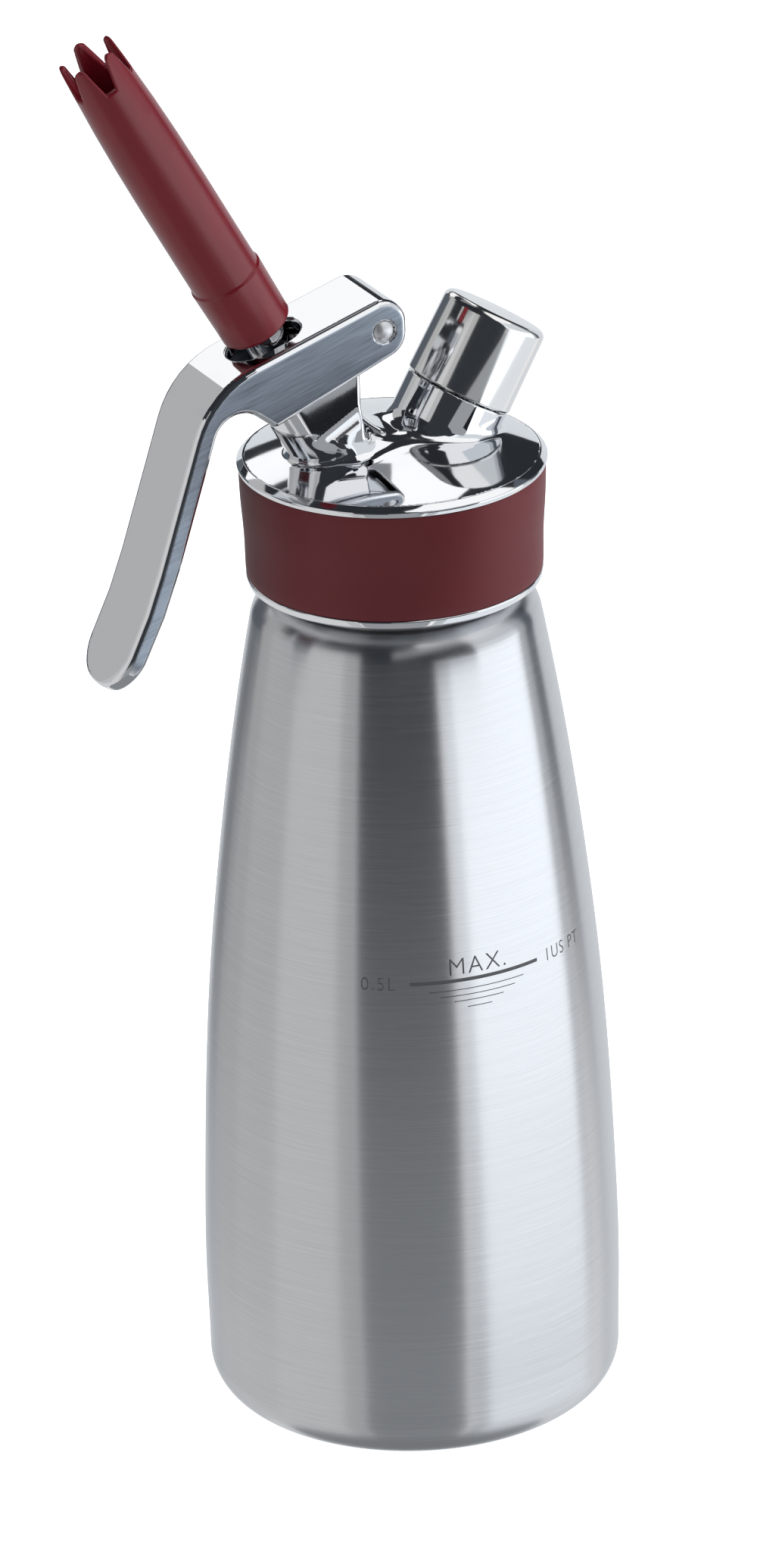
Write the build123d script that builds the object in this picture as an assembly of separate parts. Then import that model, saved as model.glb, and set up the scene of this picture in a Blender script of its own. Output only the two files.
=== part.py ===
from build123d import *
from math import cos, hypot, radians, sin, sqrt, tan
import os

# Whipped cream dispenser, in millimetres.
# The bottle stands on z = 0 with its axis on +Z. The head's plane of symmetry is XZ:
# the valve neck, lever and tip lean to -X and the charger neck leans to +X.

# ---- bottle ----
BELLY_R = 41.5            # widest outside radius
BELLY_Z = 24.0            # height of the widest ring
BASE_CORNER_R = 7.9       # rounding at the foot
BASE_TUCK = 0.3           # how much narrower the foot is than the belly
LOW_R = 41.13
LOW_Z = 45.75
MID_R = 39.22
MID_Z = 84.2
HIGH_R = 35.01
HIGH_Z = 124.7
TAPER_R = 32.93
TAPER_Z = 139.9
UPPER_R = 29.1
UPPER_Z = 163.0
SHOULDER_R = 28.45
SHOULDER_Z = 166.45
SHOULDER_SLOPE = 0.2      # radius lost per mm of height at the shoulder
SHOULDER_TOP_Z = 171.8
SHOULDER_LEDGE = 0.6      # flat between the shoulder's rounding and the neck
BOTTLE_WALL = 1.0
BASE_DISH_R = 30.0        # pressed-in disc under the foot
BASE_DISH_DEPTH = 1.2
NECK_R = 22.9             # outside of the bottle's neck, at the thread's root
NECK_WALL = 1.5
NECK_TOP_Z = 192.8

# ---- big thread between bottle and head ----
THREAD_PITCH = 3.5
THREAD_HEIGHT = 1.0
THREAD_WIDTH = 1.5        # ridge width at its root
THREAD_TURNS = 2.5
THREAD_START_Z = 179.5
THREAD_CLEARANCE = 0.3
THREAD_FLANK = 25.0       # slope of the ridge's sides, in degrees
THREAD_ROOT_DEPTH = 0.2   # how far the ridge is rooted in its wall

# ---- head casting ----
SKIRT_R = 26.4            # seat of the soft ring
LIP_BOTTOM_Z = 173.9
LIP_TOP_Z = 175.7
LIP_R = 28.9
LIP_CHAMFER = 0.6
RIM_BOTTOM_Z = 197.4
RIM_R = 30.2
RIM_EDGE_Z = 198.4        # widest ring of the rim
DOME_EDGE_R = 28.7
DOME_SPHERE_R = 90.0
DOME_TOP_Z = 204.2
CEILING_Z = 194.8         # flat underside that the gasket seals on
GASKET_OUT_R = 24.1
SEAL_EDGE_R = 0.3         # rounding of the flat seals
RIM_TUCK = 0.1            # how much the rim's foot stands out over the soft ring

# ---- valve neck, in its own leaning frame ----
AXIS_Z = 198.9            # height where both necks' axes are placed
VALVE_TILT = 29.0
VALVE_X = -10.3
VALVE_NECK_R = 8.2
VALVE_NECK_TOP = 24.0
VALVE_FLARE_R = 9.6
VALVE_FLARE_TOP = 7.5
VALVE_FLAT_START = 12.0   # above this the neck is cut flat for the lever's cheeks
VALVE_BOSS_R = 7.6
VALVE_BOSS_BOTTOM = -6.0
SPRING_CHAMBER_R = 5.4
SPRING_CHAMBER_BOTTOM = 13.0
BUSH_R = 5.6
BUSH_TOP = 6.0
BUSH_FLANGE_R = 6.8
BUSH_FLANGE_T = 1.2
SEAL_SHOULDER = 8.0
STEM_SEAL_EDGE_R = 0.5
FLOW_CHAMBER_R = 4.3
FLOW_CHAMBER_TOP = 3.0

# ---- valve stem and its parts ----
STEM_R = 3.0
STEM_BORE_R = 1.7
STEM_BORE_BOTTOM = -4.0
STEM_FOOT_R = 2.4
RUNNING_FIT = 0.06
PORT_R = 1.1
PORT_S = 0.0
PORT_COUNT = 4
COLLAR_R = 6.8            # collar that the lever pushes
COLLAR_BOTTOM = 27.4
COLLAR_TOP = 28.8
COLLAR_CHAMFER = 0.5
COLLAR_CLEARANCE = 0.4    # room round the pressed collar
NOSE_R = 4.2
NOSE_TOP = 46.0
NOSE_CHAMFER = 0.6
SEAT_GAP = 0.05
POPPET_SEAL_R = 5.2
POPPET_SEAL_T = 1.8
POPPET_NUT_R = 4.6
POPPET_NUT_T = 2.0
SPRING_R = 4.5            # middle of the wire
SPRING_WIRE_R = 0.45
SPRING_TURNS = 6
GUIDE_RING_GAP = 0.05

# ---- tip ----
TIP_BOTTOM = 36.8
TIP_STEP = 49.5
TIP_NOTCH = 98.5
TIP_TOP = 105.2
TIP_FOOT_R = 7.1
TIP_STEP_R = 7.35
TIP_STEP_DROP = 0.2       # height of the step's slanted edge
TIP_FOOT_BEVEL_W = 0.6
TIP_FOOT_BEVEL_H = 0.9
TIP_BODY_R = 7.0
TIP_BULGE_R = 6.9
TIP_BULGE_S = 80.0
TIP_NOTCH_R = 6.15
TIP_TOP_R = 5.75
TIP_WALL = 1.2
TIP_BORE_R = 4.6
INSERT_R = 5.6
INSERT_FIT = 0.05
INSERT_BOTTOM = 37.6
INSERT_TOP = 47.0
TOOTH_COUNT = 5
TOOTH_ANGLE = 63.4        # first tooth, from +Y towards the underside of the tip
TOOTH_TOP_W = 2.0
NOTCH_BOTTOM_W = 1.9

# ---- lever, laid out from its pin ----
PIN_X = -5.3
PIN_Z = 228.0
PIN_R = 1.9
PIN_HEAD_R = 2.45         # domed ends that lie in the cheeks' dimples
PIN_HEAD_GAP = 0.05
PIN_DOME = 0.6            # how far the ends stand out of the cheeks
LEVER_W = 18.2
CHEEK_T = 1.9
TOP_RISE = 6.1            # pin centre to the lever's top face
WEB_T = 2.4
TOP_SLOPE = 17.5
REAR_REACH = 5.0          # pin centre to the lever's back
BEND_REACH = 37.0         # along the top face from above the pin to the bend's corner
BEND_R = 20.0
GRIP_LEAN = 18.6
GRIP_LENGTH = 49.8
GRIP_T = 4.5
TAIL_LEAN = 33.1
TAIL_LENGTH = 13.0
TAIL_T = 4.0
TAIL_BEND_R = 100.0
CHEEK_LOW = 5.7           # pin centre to the cheeks' lower edge
CHEEK_SLOPE = 21.6
CHEEK_LENGTH = 27.3
CHEEK_RISE_ANGLE = 39.0
ARCH_R = 5.5
CHEEK_NOSE_R = 1.5
CAVITY_FRONT = 28.9       # pin centre to the front wall between the cheeks
CAVITY_REAR = 3.75
SLOT_REACH = 20.5         # along the top face to the middle of the stem's slot
SLOT_L = 15.2
SLOT_W = 10.0
PIN_DIMPLE_R = 2.7
PIN_DIMPLE_DEPTH = 0.4
LUG_CLEARANCE = 0.3
LUG_SOLE_ANGLE = 48.0     # where the lug's sole leaves the round boss
LUG_SOLE_DROP = 8.5       # from the pin down to where the sole meets the lug's back
TAIL_CORNER_R = 1.6

# ---- saddle between the necks ----
SADDLE_TOP_Z = 205.5
SADDLE_HALF_W = 6.5
SADDLE_FOOT_HALF_W = 9.6
SADDLE_FOOT_Z = 202.6
LUG_REAR_X = -9.4
VALLEY_R = 5.0

# ---- charger neck, in its own leaning frame ----
CHARGER_TILT = 30.5
CHARGER_X = 8.5
CHARGER_NECK_R = 10.5
CHARGER_FLARE_R = 12.4
CHARGER_FLARE_TOP = 6.0
CHARGER_NECK_TOP = 11.9
SPIGOT_R = 8.9
SPIGOT_TOP = 25.0
CHARGER_BORE_R = 6.2
CHARGER_BORE_BOTTOM = 8.0
CHARGER_BOSS_R = 6.8
CHARGER_BOSS_BOTTOM = -7.0
GAS_PASSAGE_R = 1.4
CHECK_POCKET_R = 4.6
CHECK_POCKET_TOP = -0.5
PIERCER_T = 5.0
NEEDLE_R = 0.8
NEEDLE_LENGTH = 6.0
CHARGER_SEAL_T = 2.0
CHARGER_SEAL_HOLE_R = 2.0
CHECK_DISC_R = 3.4
CHECK_DISC_T = 1.5
CHECK_PLUG_T = 2.2
CHECK_SPRING_R = 2.0
CHECK_SPRING_WIRE_R = 0.25
CHECK_SPRING_TURNS = 3
PIERCER_HOLES = 3

# ---- cap on the charger neck ----
CAP_GAP = 0.3
CAP_FOOT_R = 10.8
CAP_TOP_R = 10.6
CAP_TOP = 29.6
CAP_TOP_T = 2.0
CAP_EDGE_R = 1.6
CAP_BORE_CLEARANCE = 0.2
CAP_SEAL_T = 1.6
CAP_SEAL_HOLE_R = 5.6

# ---- soft ring ----
RING_TOP_R = 29.8
RING_WAIST_R = 29.1
RING_WAIST_Z = 183.0
RING_FOOT_R = 29.0
RING_EDGE_R = 0.4

LONG = 200.0              # longer than any cut needs

CHARGER_TIP = CAP_TOP - CAP_TOP_T   # underside of the cap's top
HEAD_BORE_R = NECK_R + THREAD_HEIGHT + THREAD_CLEARANCE
LUG_HALF_W = LEVER_W / 2 - CHEEK_T - LUG_CLEARANCE


def leaning_frame(x, tilt):
    """Frame on a neck's axis; a positive tilt leans to +X."""
    lean = radians(tilt)
    return Plane(origin=(x, 0, AXIS_Z), x_dir=(cos(lean), 0, -sin(lean)), z_dir=(sin(lean), 0, cos(lean)))


VALVE = leaning_frame(VALVE_X, -VALVE_TILT)
CHARGER = leaning_frame(CHARGER_X, CHARGER_TILT)


def rod(radius, bottom, top):
    """Cylinder on the local axis between two heights."""
    return Pos(0, 0, bottom) * Cylinder(radius, top - bottom, align=(Align.CENTER, Align.CENTER, Align.MIN))


def tube(inner, outer, bottom, top):
    """Plain sleeve between two heights."""
    return rod(outer, bottom, top) - rod(inner, bottom, top)


def seal_ring(inner, outer, bottom, top, edge):
    """Ring with rounded edges."""
    ring = tube(inner, outer, bottom, top)
    return fillet(ring.edges().filter_by(GeomType.CIRCLE), edge)


def coil(radius, wire, turns, bottom, top):
    """Open coil spring between two heights."""
    rise = top - bottom - 2 * wire
    path = Pos(0, 0, bottom + wire) * Helix(pitch=rise / turns, height=rise, radius=radius)
    return sweep(Plane(path @ 0, z_dir=path % 0) * Circle(wire), path=path, is_frenet=True)


def helical_ridge(root, outward, start_z):
    """Thread ridge on a cylinder of the root radius, pointing out or in."""
    side = 1 if outward else -1
    buried = root - side * THREAD_ROOT_DEPTH
    crest = root + side * THREAD_HEIGHT
    height = THREAD_PITCH * THREAD_TURNS
    half_root = THREAD_WIDTH / 2
    half_crest = half_root - THREAD_HEIGHT * tan(radians(THREAD_FLANK))
    path = Pos(0, 0, start_z) * Helix(pitch=THREAD_PITCH, height=height, radius=root)
    section = Polygon(
        (buried, -half_root),
        (buried, half_root),
        (crest, half_crest),
        (crest, -half_crest),
        align=None,
    )
    return sweep(Plane.XZ * Pos(0, start_z) * section, path=path, is_frenet=True)


def flask(inset):
    """Solid bottle form, pulled in by the inset everywhere but at the neck's top."""
    foot_r = BELLY_R - BASE_TUCK - inset
    corner = BASE_CORNER_R - inset
    neck = NECK_R - (NECK_WALL if inset else 0)
    shoulder_top = SHOULDER_TOP_Z - inset
    middle = corner * (1 - sqrt(0.5))
    lower = [
        Line((0, inset), (foot_r - corner, inset)),
        ThreePointArc((foot_r - corner, inset), (foot_r - middle, inset + middle), (foot_r, inset + corner)),
    ]
    side = Spline(
        (foot_r, inset + corner),
        (BELLY_R - inset, BELLY_Z),
        (LOW_R - inset, LOW_Z),
        (MID_R - inset, MID_Z),
        (HIGH_R - inset, HIGH_Z),
        (TAPER_R - inset, TAPER_Z),
        (UPPER_R - inset, UPPER_Z),
        (SHOULDER_R - inset, SHOULDER_Z),
        tangents=[(0, 1), (-SHOULDER_SLOPE, 1)],
    )
    shoulder = TangentArc(
        (SHOULDER_R - inset, SHOULDER_Z),
        (NECK_R + SHOULDER_LEDGE - inset, shoulder_top),
        tangent=(-SHOULDER_SLOPE, 1),
    )
    upper = Polyline(shoulder @ 1, (neck, shoulder_top), (neck, NECK_TOP_Z), (0, NECK_TOP_Z), (0, inset))
    outline = Wire(lower + [side, shoulder] + upper.edges())
    return revolve(Plane.XZ * make_face(outline), Axis.Z)


def bottle():
    """Drawn flask with an open threaded neck and a dished foot."""
    body = flask(0) - flask(BOTTLE_WALL)
    dish = rod(BASE_DISH_R, 0, BASE_DISH_DEPTH)
    floor = rod(BASE_DISH_R + BOTTLE_WALL, BOTTLE_WALL / 2, BASE_DISH_DEPTH + BOTTLE_WALL)
    body = body + floor - dish
    ridge = helical_ridge(NECK_R, True, THREAD_START_Z)
    return body + ridge


def grip_ring():
    """Soft ring round the head's skirt, slightly waisted."""
    outline = Wire(
        [
            Line((SKIRT_R, LIP_TOP_Z), (RING_FOOT_R, LIP_TOP_Z)),
            Spline((RING_FOOT_R, LIP_TOP_Z), (RING_WAIST_R, RING_WAIST_Z), (RING_TOP_R, RIM_BOTTOM_Z)),
            Line((RING_TOP_R, RIM_BOTTOM_Z), (SKIRT_R, RIM_BOTTOM_Z)),
            Line((SKIRT_R, RIM_BOTTOM_Z), (SKIRT_R, LIP_TOP_Z)),
        ]
    )
    ring = revolve(Plane.XZ * make_face(outline), Axis.Z)
    outside = ring.edges().filter_by(GeomType.CIRCLE).filter_by(lambda e: e.radius > SKIRT_R + RING_EDGE_R)
    return fillet(outside, RING_EDGE_R)


def dome_height(radius):
    """Height of the domed disc at a distance from the bottle's axis."""
    return DOME_TOP_Z - DOME_SPHERE_R + sqrt(DOME_SPHERE_R**2 - radius**2)


def disc_and_skirt():
    """Domed disc with its rim and the skirt under it, solid inside."""
    edge_z = dome_height(DOME_EDGE_R)
    rim_foot_r = RING_TOP_R + RIM_TUCK
    dome = ThreePointArc((0, DOME_TOP_Z), (DOME_EDGE_R / 2, dome_height(DOME_EDGE_R / 2)), (DOME_EDGE_R, edge_z))
    rim = ThreePointArc((DOME_EDGE_R, edge_z), (RIM_R, RIM_EDGE_Z), (rim_foot_r, RIM_BOTTOM_Z))
    skirt = Polyline(
        (rim_foot_r, RIM_BOTTOM_Z),
        (SKIRT_R, RIM_BOTTOM_Z),
        (SKIRT_R, LIP_TOP_Z),
        (LIP_R, LIP_TOP_Z),
        (LIP_R, LIP_BOTTOM_Z + LIP_CHAMFER),
        (LIP_R - LIP_CHAMFER, LIP_BOTTOM_Z),
        (0, LIP_BOTTOM_Z),
        (0, DOME_TOP_Z),
    )
    return revolve(Plane.XZ * make_face(Wire([dome, rim] + skirt.edges())), Axis.Z)


def pin_lug():
    """Flat plate between the lever's cheeks, from the valve neck to the lever's pin."""
    boss_r = TOP_RISE - WEB_T - LUG_CLEARANCE
    neck_top = VALVE.from_local_coords((0, 0, VALVE_NECK_TOP))
    lower_tangent = (
        PIN_X + boss_r * cos(radians(LUG_SOLE_ANGLE)),
        PIN_Z - boss_r * sin(radians(LUG_SOLE_ANGLE)),
    )
    upper_tangent = (
        PIN_X - boss_r * sin(radians(TOP_SLOPE)),
        PIN_Z + boss_r * cos(radians(TOP_SLOPE)),
    )
    plate = Polygon(
        (VALVE_X, SADDLE_FOOT_Z),
        (LUG_REAR_X, SADDLE_FOOT_Z),
        (LUG_REAR_X, PIN_Z - LUG_SOLE_DROP),
        lower_tangent,
        (PIN_X, PIN_Z),
        upper_tangent,
        (neck_top.X, neck_top.Z),
        align=None,
    )
    outline = Plane.XZ * (plate + Pos(PIN_X, PIN_Z) * Circle(boss_r))
    return extrude(outline, LUG_HALF_W, both=True)


def valve_neck():
    """Leaning neck of the valve, cut flat where the cheeks pass it."""
    lower = rod(VALVE_NECK_R, 0, VALVE_FLAT_START) + Cone(
        VALVE_FLARE_R, VALVE_NECK_R, VALVE_FLARE_TOP, align=(Align.CENTER, Align.CENTER, Align.MIN)
    )
    upper = rod(VALVE_NECK_R, VALVE_FLAT_START, VALVE_NECK_TOP) & Box(LONG, 2 * LUG_HALF_W, LONG)
    return VALVE * (lower + upper)


def saddle():
    """Low bridge between the necks that flares out to the disc."""
    valve_foot = VALVE_X - (SADDLE_FOOT_Z - AXIS_Z) * tan(radians(VALVE_TILT))
    charger_foot = CHARGER_X + (SADDLE_FOOT_Z - AXIS_Z) * tan(radians(CHARGER_TILT))
    section = Polygon(
        (-SADDLE_FOOT_HALF_W, AXIS_Z),
        (-SADDLE_FOOT_HALF_W, SADDLE_FOOT_Z),
        (-SADDLE_HALF_W, SADDLE_TOP_Z),
        (SADDLE_HALF_W, SADDLE_TOP_Z),
        (SADDLE_FOOT_HALF_W, SADDLE_FOOT_Z),
        (SADDLE_FOOT_HALF_W, AXIS_Z),
        align=None,
    )
    bridge = Pos(valve_foot, 0, 0) * extrude(Plane.YZ * section, charger_foot - valve_foot, dir=(1, 0, 0))
    corner = Box(VALLEY_R, 2 * SADDLE_HALF_W, VALLEY_R, align=(Align.MIN, Align.CENTER, Align.MIN))
    scoop = Pos(VALLEY_R, 0, VALLEY_R) * Rot(90, 0, 0) * Cylinder(VALLEY_R, LONG)
    valley = Pos(LUG_REAR_X, 0, SADDLE_TOP_Z) * (corner - scoop)
    return bridge + valley


def charger_neck():
    """Leaning neck of the charger with its flared foot and threaded spigot."""
    flare = Cone(
        CHARGER_FLARE_R, CHARGER_NECK_R, CHARGER_FLARE_TOP, align=(Align.CENTER, Align.CENTER, Align.MIN)
    )
    neck = rod(CHARGER_NECK_R, 0, CHARGER_NECK_TOP)
    return CHARGER * (flare + neck + rod(SPIGOT_R, 0, SPIGOT_TOP))


def head_bores():
    """Everything that is bored out of the casting along the two necks, and the collar's seat."""
    valve = (
        rod(STEM_R + RUNNING_FIT, -LONG / 4, LONG / 4)
        + rod(COLLAR_R + COLLAR_CLEARANCE, VALVE_NECK_TOP, COLLAR_TOP)
        + rod(SPRING_CHAMBER_R, SPRING_CHAMBER_BOTTOM, VALVE_NECK_TOP + 1)
        + rod(BUSH_R, VALVE_BOSS_BOTTOM - 1, SEAL_SHOULDER)
        + rod(BUSH_FLANGE_R + LUG_CLEARANCE, VALVE_BOSS_BOTTOM - 3 * BUSH_FLANGE_T, VALVE_BOSS_BOTTOM)
    )
    charger = (
        rod(GAS_PASSAGE_R, CHARGER_BOSS_BOTTOM, SPIGOT_TOP)
        + rod(CHARGER_BORE_R, CHARGER_BORE_BOTTOM, SPIGOT_TOP + 1)
        + rod(CHECK_POCKET_R, CHARGER_BOSS_BOTTOM - 1, CHECK_POCKET_TOP)
    )
    pin = Pos(PIN_X, 0, PIN_Z) * Rot(90, 0, 0) * Cylinder(PIN_R, LONG)
    return [VALVE * valve, CHARGER * charger, pin]


def head_body():
    """One casting: disc, skirt, both necks, saddle and the lug for the lever's pin."""
    inside = rod(HEAD_BORE_R, LIP_BOTTOM_Z - 1, CEILING_Z)
    shell = disc_and_skirt() - inside
    below_dome = rod(DOME_EDGE_R, 0, CEILING_Z)
    outside = valve_neck() + saddle() + charger_neck() + pin_lug() - below_dome
    valve_boss = VALVE * rod(VALVE_BOSS_R, VALVE_BOSS_BOTTOM, 0)
    charger_boss = CHARGER * rod(CHARGER_BOSS_R, CHARGER_BOSS_BOTTOM, 0)
    head = shell + outside + valve_boss + charger_boss
    head = head - head_bores()
    ridge = helical_ridge(HEAD_BORE_R, False, THREAD_START_Z - THREAD_PITCH / 2)
    return head + ridge


def head_gasket():
    """Flat seal between the bottle's rim and the head."""
    return seal_ring(NECK_R - NECK_WALL, GASKET_OUT_R, NECK_TOP_Z, CEILING_Z, SEAL_EDGE_R)


def valve_bush():
    """Bush under the valve neck that guides the stem and carries the valve seat."""
    seat = VALVE_BOSS_BOTTOM - BUSH_FLANGE_T
    bush = rod(BUSH_R, VALVE_BOSS_BOTTOM, BUSH_TOP) + rod(BUSH_FLANGE_R, seat, VALVE_BOSS_BOTTOM)
    bush = bush - rod(FLOW_CHAMBER_R, seat, FLOW_CHAMBER_TOP) - rod(STEM_R + RUNNING_FIT, seat, BUSH_TOP)
    return VALVE * bush


def stem_seal():
    """Ring seal round the stem, held between the bush and the neck's shoulder."""
    bottom = BUSH_TOP + GUIDE_RING_GAP
    top = SEAL_SHOULDER - GUIDE_RING_GAP
    return VALVE * seal_ring(STEM_R + RUNNING_FIT, BUSH_R - GUIDE_RING_GAP, bottom, top, STEM_SEAL_EDGE_R)


def valve_stem():
    """Hollow stem with side ports, the collar that the lever pushes and the tip's nose."""
    seat = VALVE_BOSS_BOTTOM - BUSH_FLANGE_T - SEAT_GAP
    foot = seat - POPPET_SEAL_T - POPPET_NUT_T
    stem = rod(STEM_R, seat, COLLAR_BOTTOM) + rod(STEM_FOOT_R, foot, seat)
    collar = chamfer(rod(COLLAR_R, COLLAR_BOTTOM, COLLAR_TOP).edges().group_by(Axis.Z)[-1], COLLAR_CHAMFER)
    nose = chamfer(rod(NOSE_R, COLLAR_TOP, NOSE_TOP).edges().group_by(Axis.Z)[-1], NOSE_CHAMFER)
    stem = stem + collar + nose - rod(STEM_BORE_R, STEM_BORE_BOTTOM, NOSE_TOP)
    port = Pos(0, 0, PORT_S) * Rot(0, 90, 0) * rod(PORT_R, 0, STEM_R + 1)
    for turn in range(PORT_COUNT):
        stem = stem - Rot(0, 0, 360 * turn / PORT_COUNT) * port
    return VALVE * stem


def poppet_seal():
    """Ring on the stem's foot that closes on the bush."""
    top = VALVE_BOSS_BOTTOM - BUSH_FLANGE_T - SEAT_GAP
    return VALVE * seal_ring(STEM_FOOT_R, POPPET_SEAL_R, top - POPPET_SEAL_T, top, SEAL_EDGE_R)


def poppet_nut():
    """Nut that holds the poppet seal on the stem."""
    top = VALVE_BOSS_BOTTOM - BUSH_FLANGE_T - SEAT_GAP - POPPET_SEAL_T
    hexagon = extrude(RegularPolygon(POPPET_NUT_R, 6) - Circle(STEM_FOOT_R), POPPET_NUT_T)
    return VALVE * Pos(0, 0, top - POPPET_NUT_T) * hexagon


def valve_spring():
    """Coil that pushes the stem's collar up."""
    return VALVE * coil(SPRING_R, SPRING_WIRE_R, SPRING_TURNS, SPRING_CHAMBER_BOTTOM, COLLAR_BOTTOM)


def tip_insert():
    """Steel sleeve moulded into the tip's foot, which screws on to the stem's nose."""
    return VALVE * tube(NOSE_R + RUNNING_FIT, INSERT_R - INSERT_FIT, INSERT_BOTTOM, INSERT_TOP)


def tip_notches():
    """Wedges that leave the teeth standing round the tip's mouth."""
    tooth_pitch = 2 * TIP_TOP_R * sin(radians(180 / TOOTH_COUNT))
    top_gap = tooth_pitch - TOOTH_TOP_W
    depth = TIP_TOP - TIP_NOTCH
    wedge = Polygon(
        (-NOTCH_BOTTOM_W / 2, 0),
        (-top_gap / 2, depth + 0.1),
        (top_gap / 2, depth + 0.1),
        (NOTCH_BOTTOM_W / 2, 0),
        align=None,
    )
    cut = Pos(0, 0, TIP_NOTCH) * extrude(Plane.YZ * wedge, TIP_STEP_R, dir=(1, 0, 0))
    cuts = []
    for tooth in range(TOOTH_COUNT):
        angle = 90 + TOOTH_ANGLE + 360 * (tooth + 0.5) / TOOTH_COUNT
        cuts.append(Rot(0, 0, angle) * cut)
    return cuts


def decorator_tip():
    """Moulded tip: stepped foot, gently bulged body and five teeth."""
    bevel_top = TIP_BOTTOM + TIP_FOOT_BEVEL_H
    outside = Wire(
        [
            Line((0, TIP_BOTTOM), (TIP_FOOT_R - TIP_FOOT_BEVEL_W, TIP_BOTTOM)),
            Line((TIP_FOOT_R - TIP_FOOT_BEVEL_W, TIP_BOTTOM), (TIP_FOOT_R, bevel_top)),
            Line((TIP_FOOT_R, bevel_top), (TIP_STEP_R, TIP_STEP)),
            Line((TIP_STEP_R, TIP_STEP), (TIP_BODY_R, TIP_STEP + TIP_STEP_DROP)),
            Spline(
                (TIP_BODY_R, TIP_STEP + TIP_STEP_DROP),
                (TIP_BULGE_R, TIP_BULGE_S),
                (TIP_NOTCH_R, TIP_NOTCH),
                (TIP_TOP_R, TIP_TOP),
            ),
            Line((TIP_TOP_R, TIP_TOP), (0, TIP_TOP)),
            Line((0, TIP_TOP), (0, TIP_BOTTOM)),
        ]
    )
    body = revolve(Plane.XZ * make_face(outside), Axis.Z)
    mouth = Cone(
        TIP_BORE_R,
        TIP_TOP_R - TIP_WALL,
        TIP_TOP - INSERT_TOP,
        align=(Align.CENTER, Align.CENTER, Align.MIN),
    )
    body = body - Pos(0, 0, INSERT_TOP) * mouth - rod(INSERT_R, TIP_BOTTOM, INSERT_TOP)
    return VALVE * (body - tip_notches())


def along(angle, length):
    """Step of a length at an angle above +X, as (x, z)."""
    return length * cos(radians(angle)), length * sin(radians(angle))


def add(point, step):
    """Point moved by a step."""
    return point[0] + step[0], point[1] + step[1]


def crossing(point_a, angle_a, point_b, angle_b):
    """Where two lines meet, each given by a point and an angle."""
    ax, az = along(angle_a, 1)
    bx, bz = along(angle_b, 1)
    dx = point_b[0] - point_a[0]
    dz = point_b[1] - point_a[1]
    reach = (dx * bz - dz * bx) / (ax * bz - az * bx)
    return point_a[0] + ax * reach, point_a[1] + az * reach


def lever_outline():
    """Side view of the lever as (x, z) about the pin, with a radius for each corner."""
    top_angle = 180 + TOP_SLOPE
    grip_angle = 270 - GRIP_LEAN
    tail_angle = 270 - TAIL_LEAN
    top_foot = along(90 + TOP_SLOPE, TOP_RISE)
    low_foot = along(CHEEK_SLOPE - 90, CHEEK_LOW)
    bend = add(top_foot, along(top_angle, BEND_REACH))
    tail_bend = add(bend, along(grip_angle, GRIP_LENGTH))
    tail_end = add(tail_bend, along(tail_angle, TAIL_LENGTH))
    inner_grip = add(bend, along(grip_angle + 90, GRIP_T))
    inner_tail = add(tail_end, along(tail_angle + 90, TAIL_T))
    cheek_nose = add(low_foot, along(180 + CHEEK_SLOPE, CHEEK_LENGTH))
    rear_top = crossing(top_foot, top_angle, (REAR_REACH, 0), 90)
    rear_low = crossing(low_foot, CHEEK_SLOPE, (REAR_REACH, 0), 90)
    arch = crossing(cheek_nose, 180 - CHEEK_RISE_ANGLE, inner_grip, grip_angle)
    inner_bend = crossing(inner_grip, grip_angle, inner_tail, tail_angle)
    corners = [
        (rear_top, REAR_REACH),
        (bend, BEND_R),
        (tail_bend, TAIL_BEND_R),
        (tail_end, TAIL_CORNER_R),
        (inner_tail, TAIL_CORNER_R),
        (inner_bend, TAIL_BEND_R),
        (arch, ARCH_R),
        (cheek_nose, CHEEK_NOSE_R),
        (rear_low, REAR_REACH),
    ]
    return corners


def lever():
    """Lever with cheeks each side of the valve neck, the stem's slot and a flared grip."""
    corners = lever_outline()
    outline = FilletPolyline([c[0] for c in corners], radius=[c[1] for c in corners], close=True)
    plate = extrude(Plane.XZ * make_face(outline), LEVER_W / 2, both=True)
    plate = plate & tail_rounding(corners)
    under_web = TOP_RISE - WEB_T
    web_foot = along(90 + TOP_SLOPE, under_web)
    web_front = crossing(web_foot, 180 + TOP_SLOPE, (-CAVITY_FRONT, 0), 90)
    cavity = Polygon(
        web_foot,
        web_front,
        (-CAVITY_FRONT, -LONG / 4),
        (CAVITY_REAR, -LONG / 4),
        (CAVITY_REAR, 0),
        align=None,
    )
    cavity = Plane.XZ * (cavity + Circle(CAVITY_REAR))
    cavity = extrude(cavity, LEVER_W / 2 - CHEEK_T, both=True)
    slot_middle = add(along(90 + TOP_SLOPE, TOP_RISE), along(180 + TOP_SLOPE, SLOT_REACH))
    slot = Pos(slot_middle[0], 0, slot_middle[1]) * Rot(0, -TOP_SLOPE, 0) * extrude(
        SlotOverall(SLOT_L, SLOT_W), 2 * WEB_T, both=True
    )
    pin_hole = Rot(90, 0, 0) * Cylinder(PIN_R + RUNNING_FIT, LONG)
    dimple_y = LEVER_W / 2 - PIN_DIMPLE_DEPTH / 2
    dimple = Rot(90, 0, 0) * Cylinder(PIN_DIMPLE_R, PIN_DIMPLE_DEPTH)
    body = plate - cavity - slot - pin_hole - Pos(0, dimple_y, 0) * dimple - Pos(0, -dimple_y, 0) * dimple
    return Pos(PIN_X, 0, PIN_Z) * body


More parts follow.
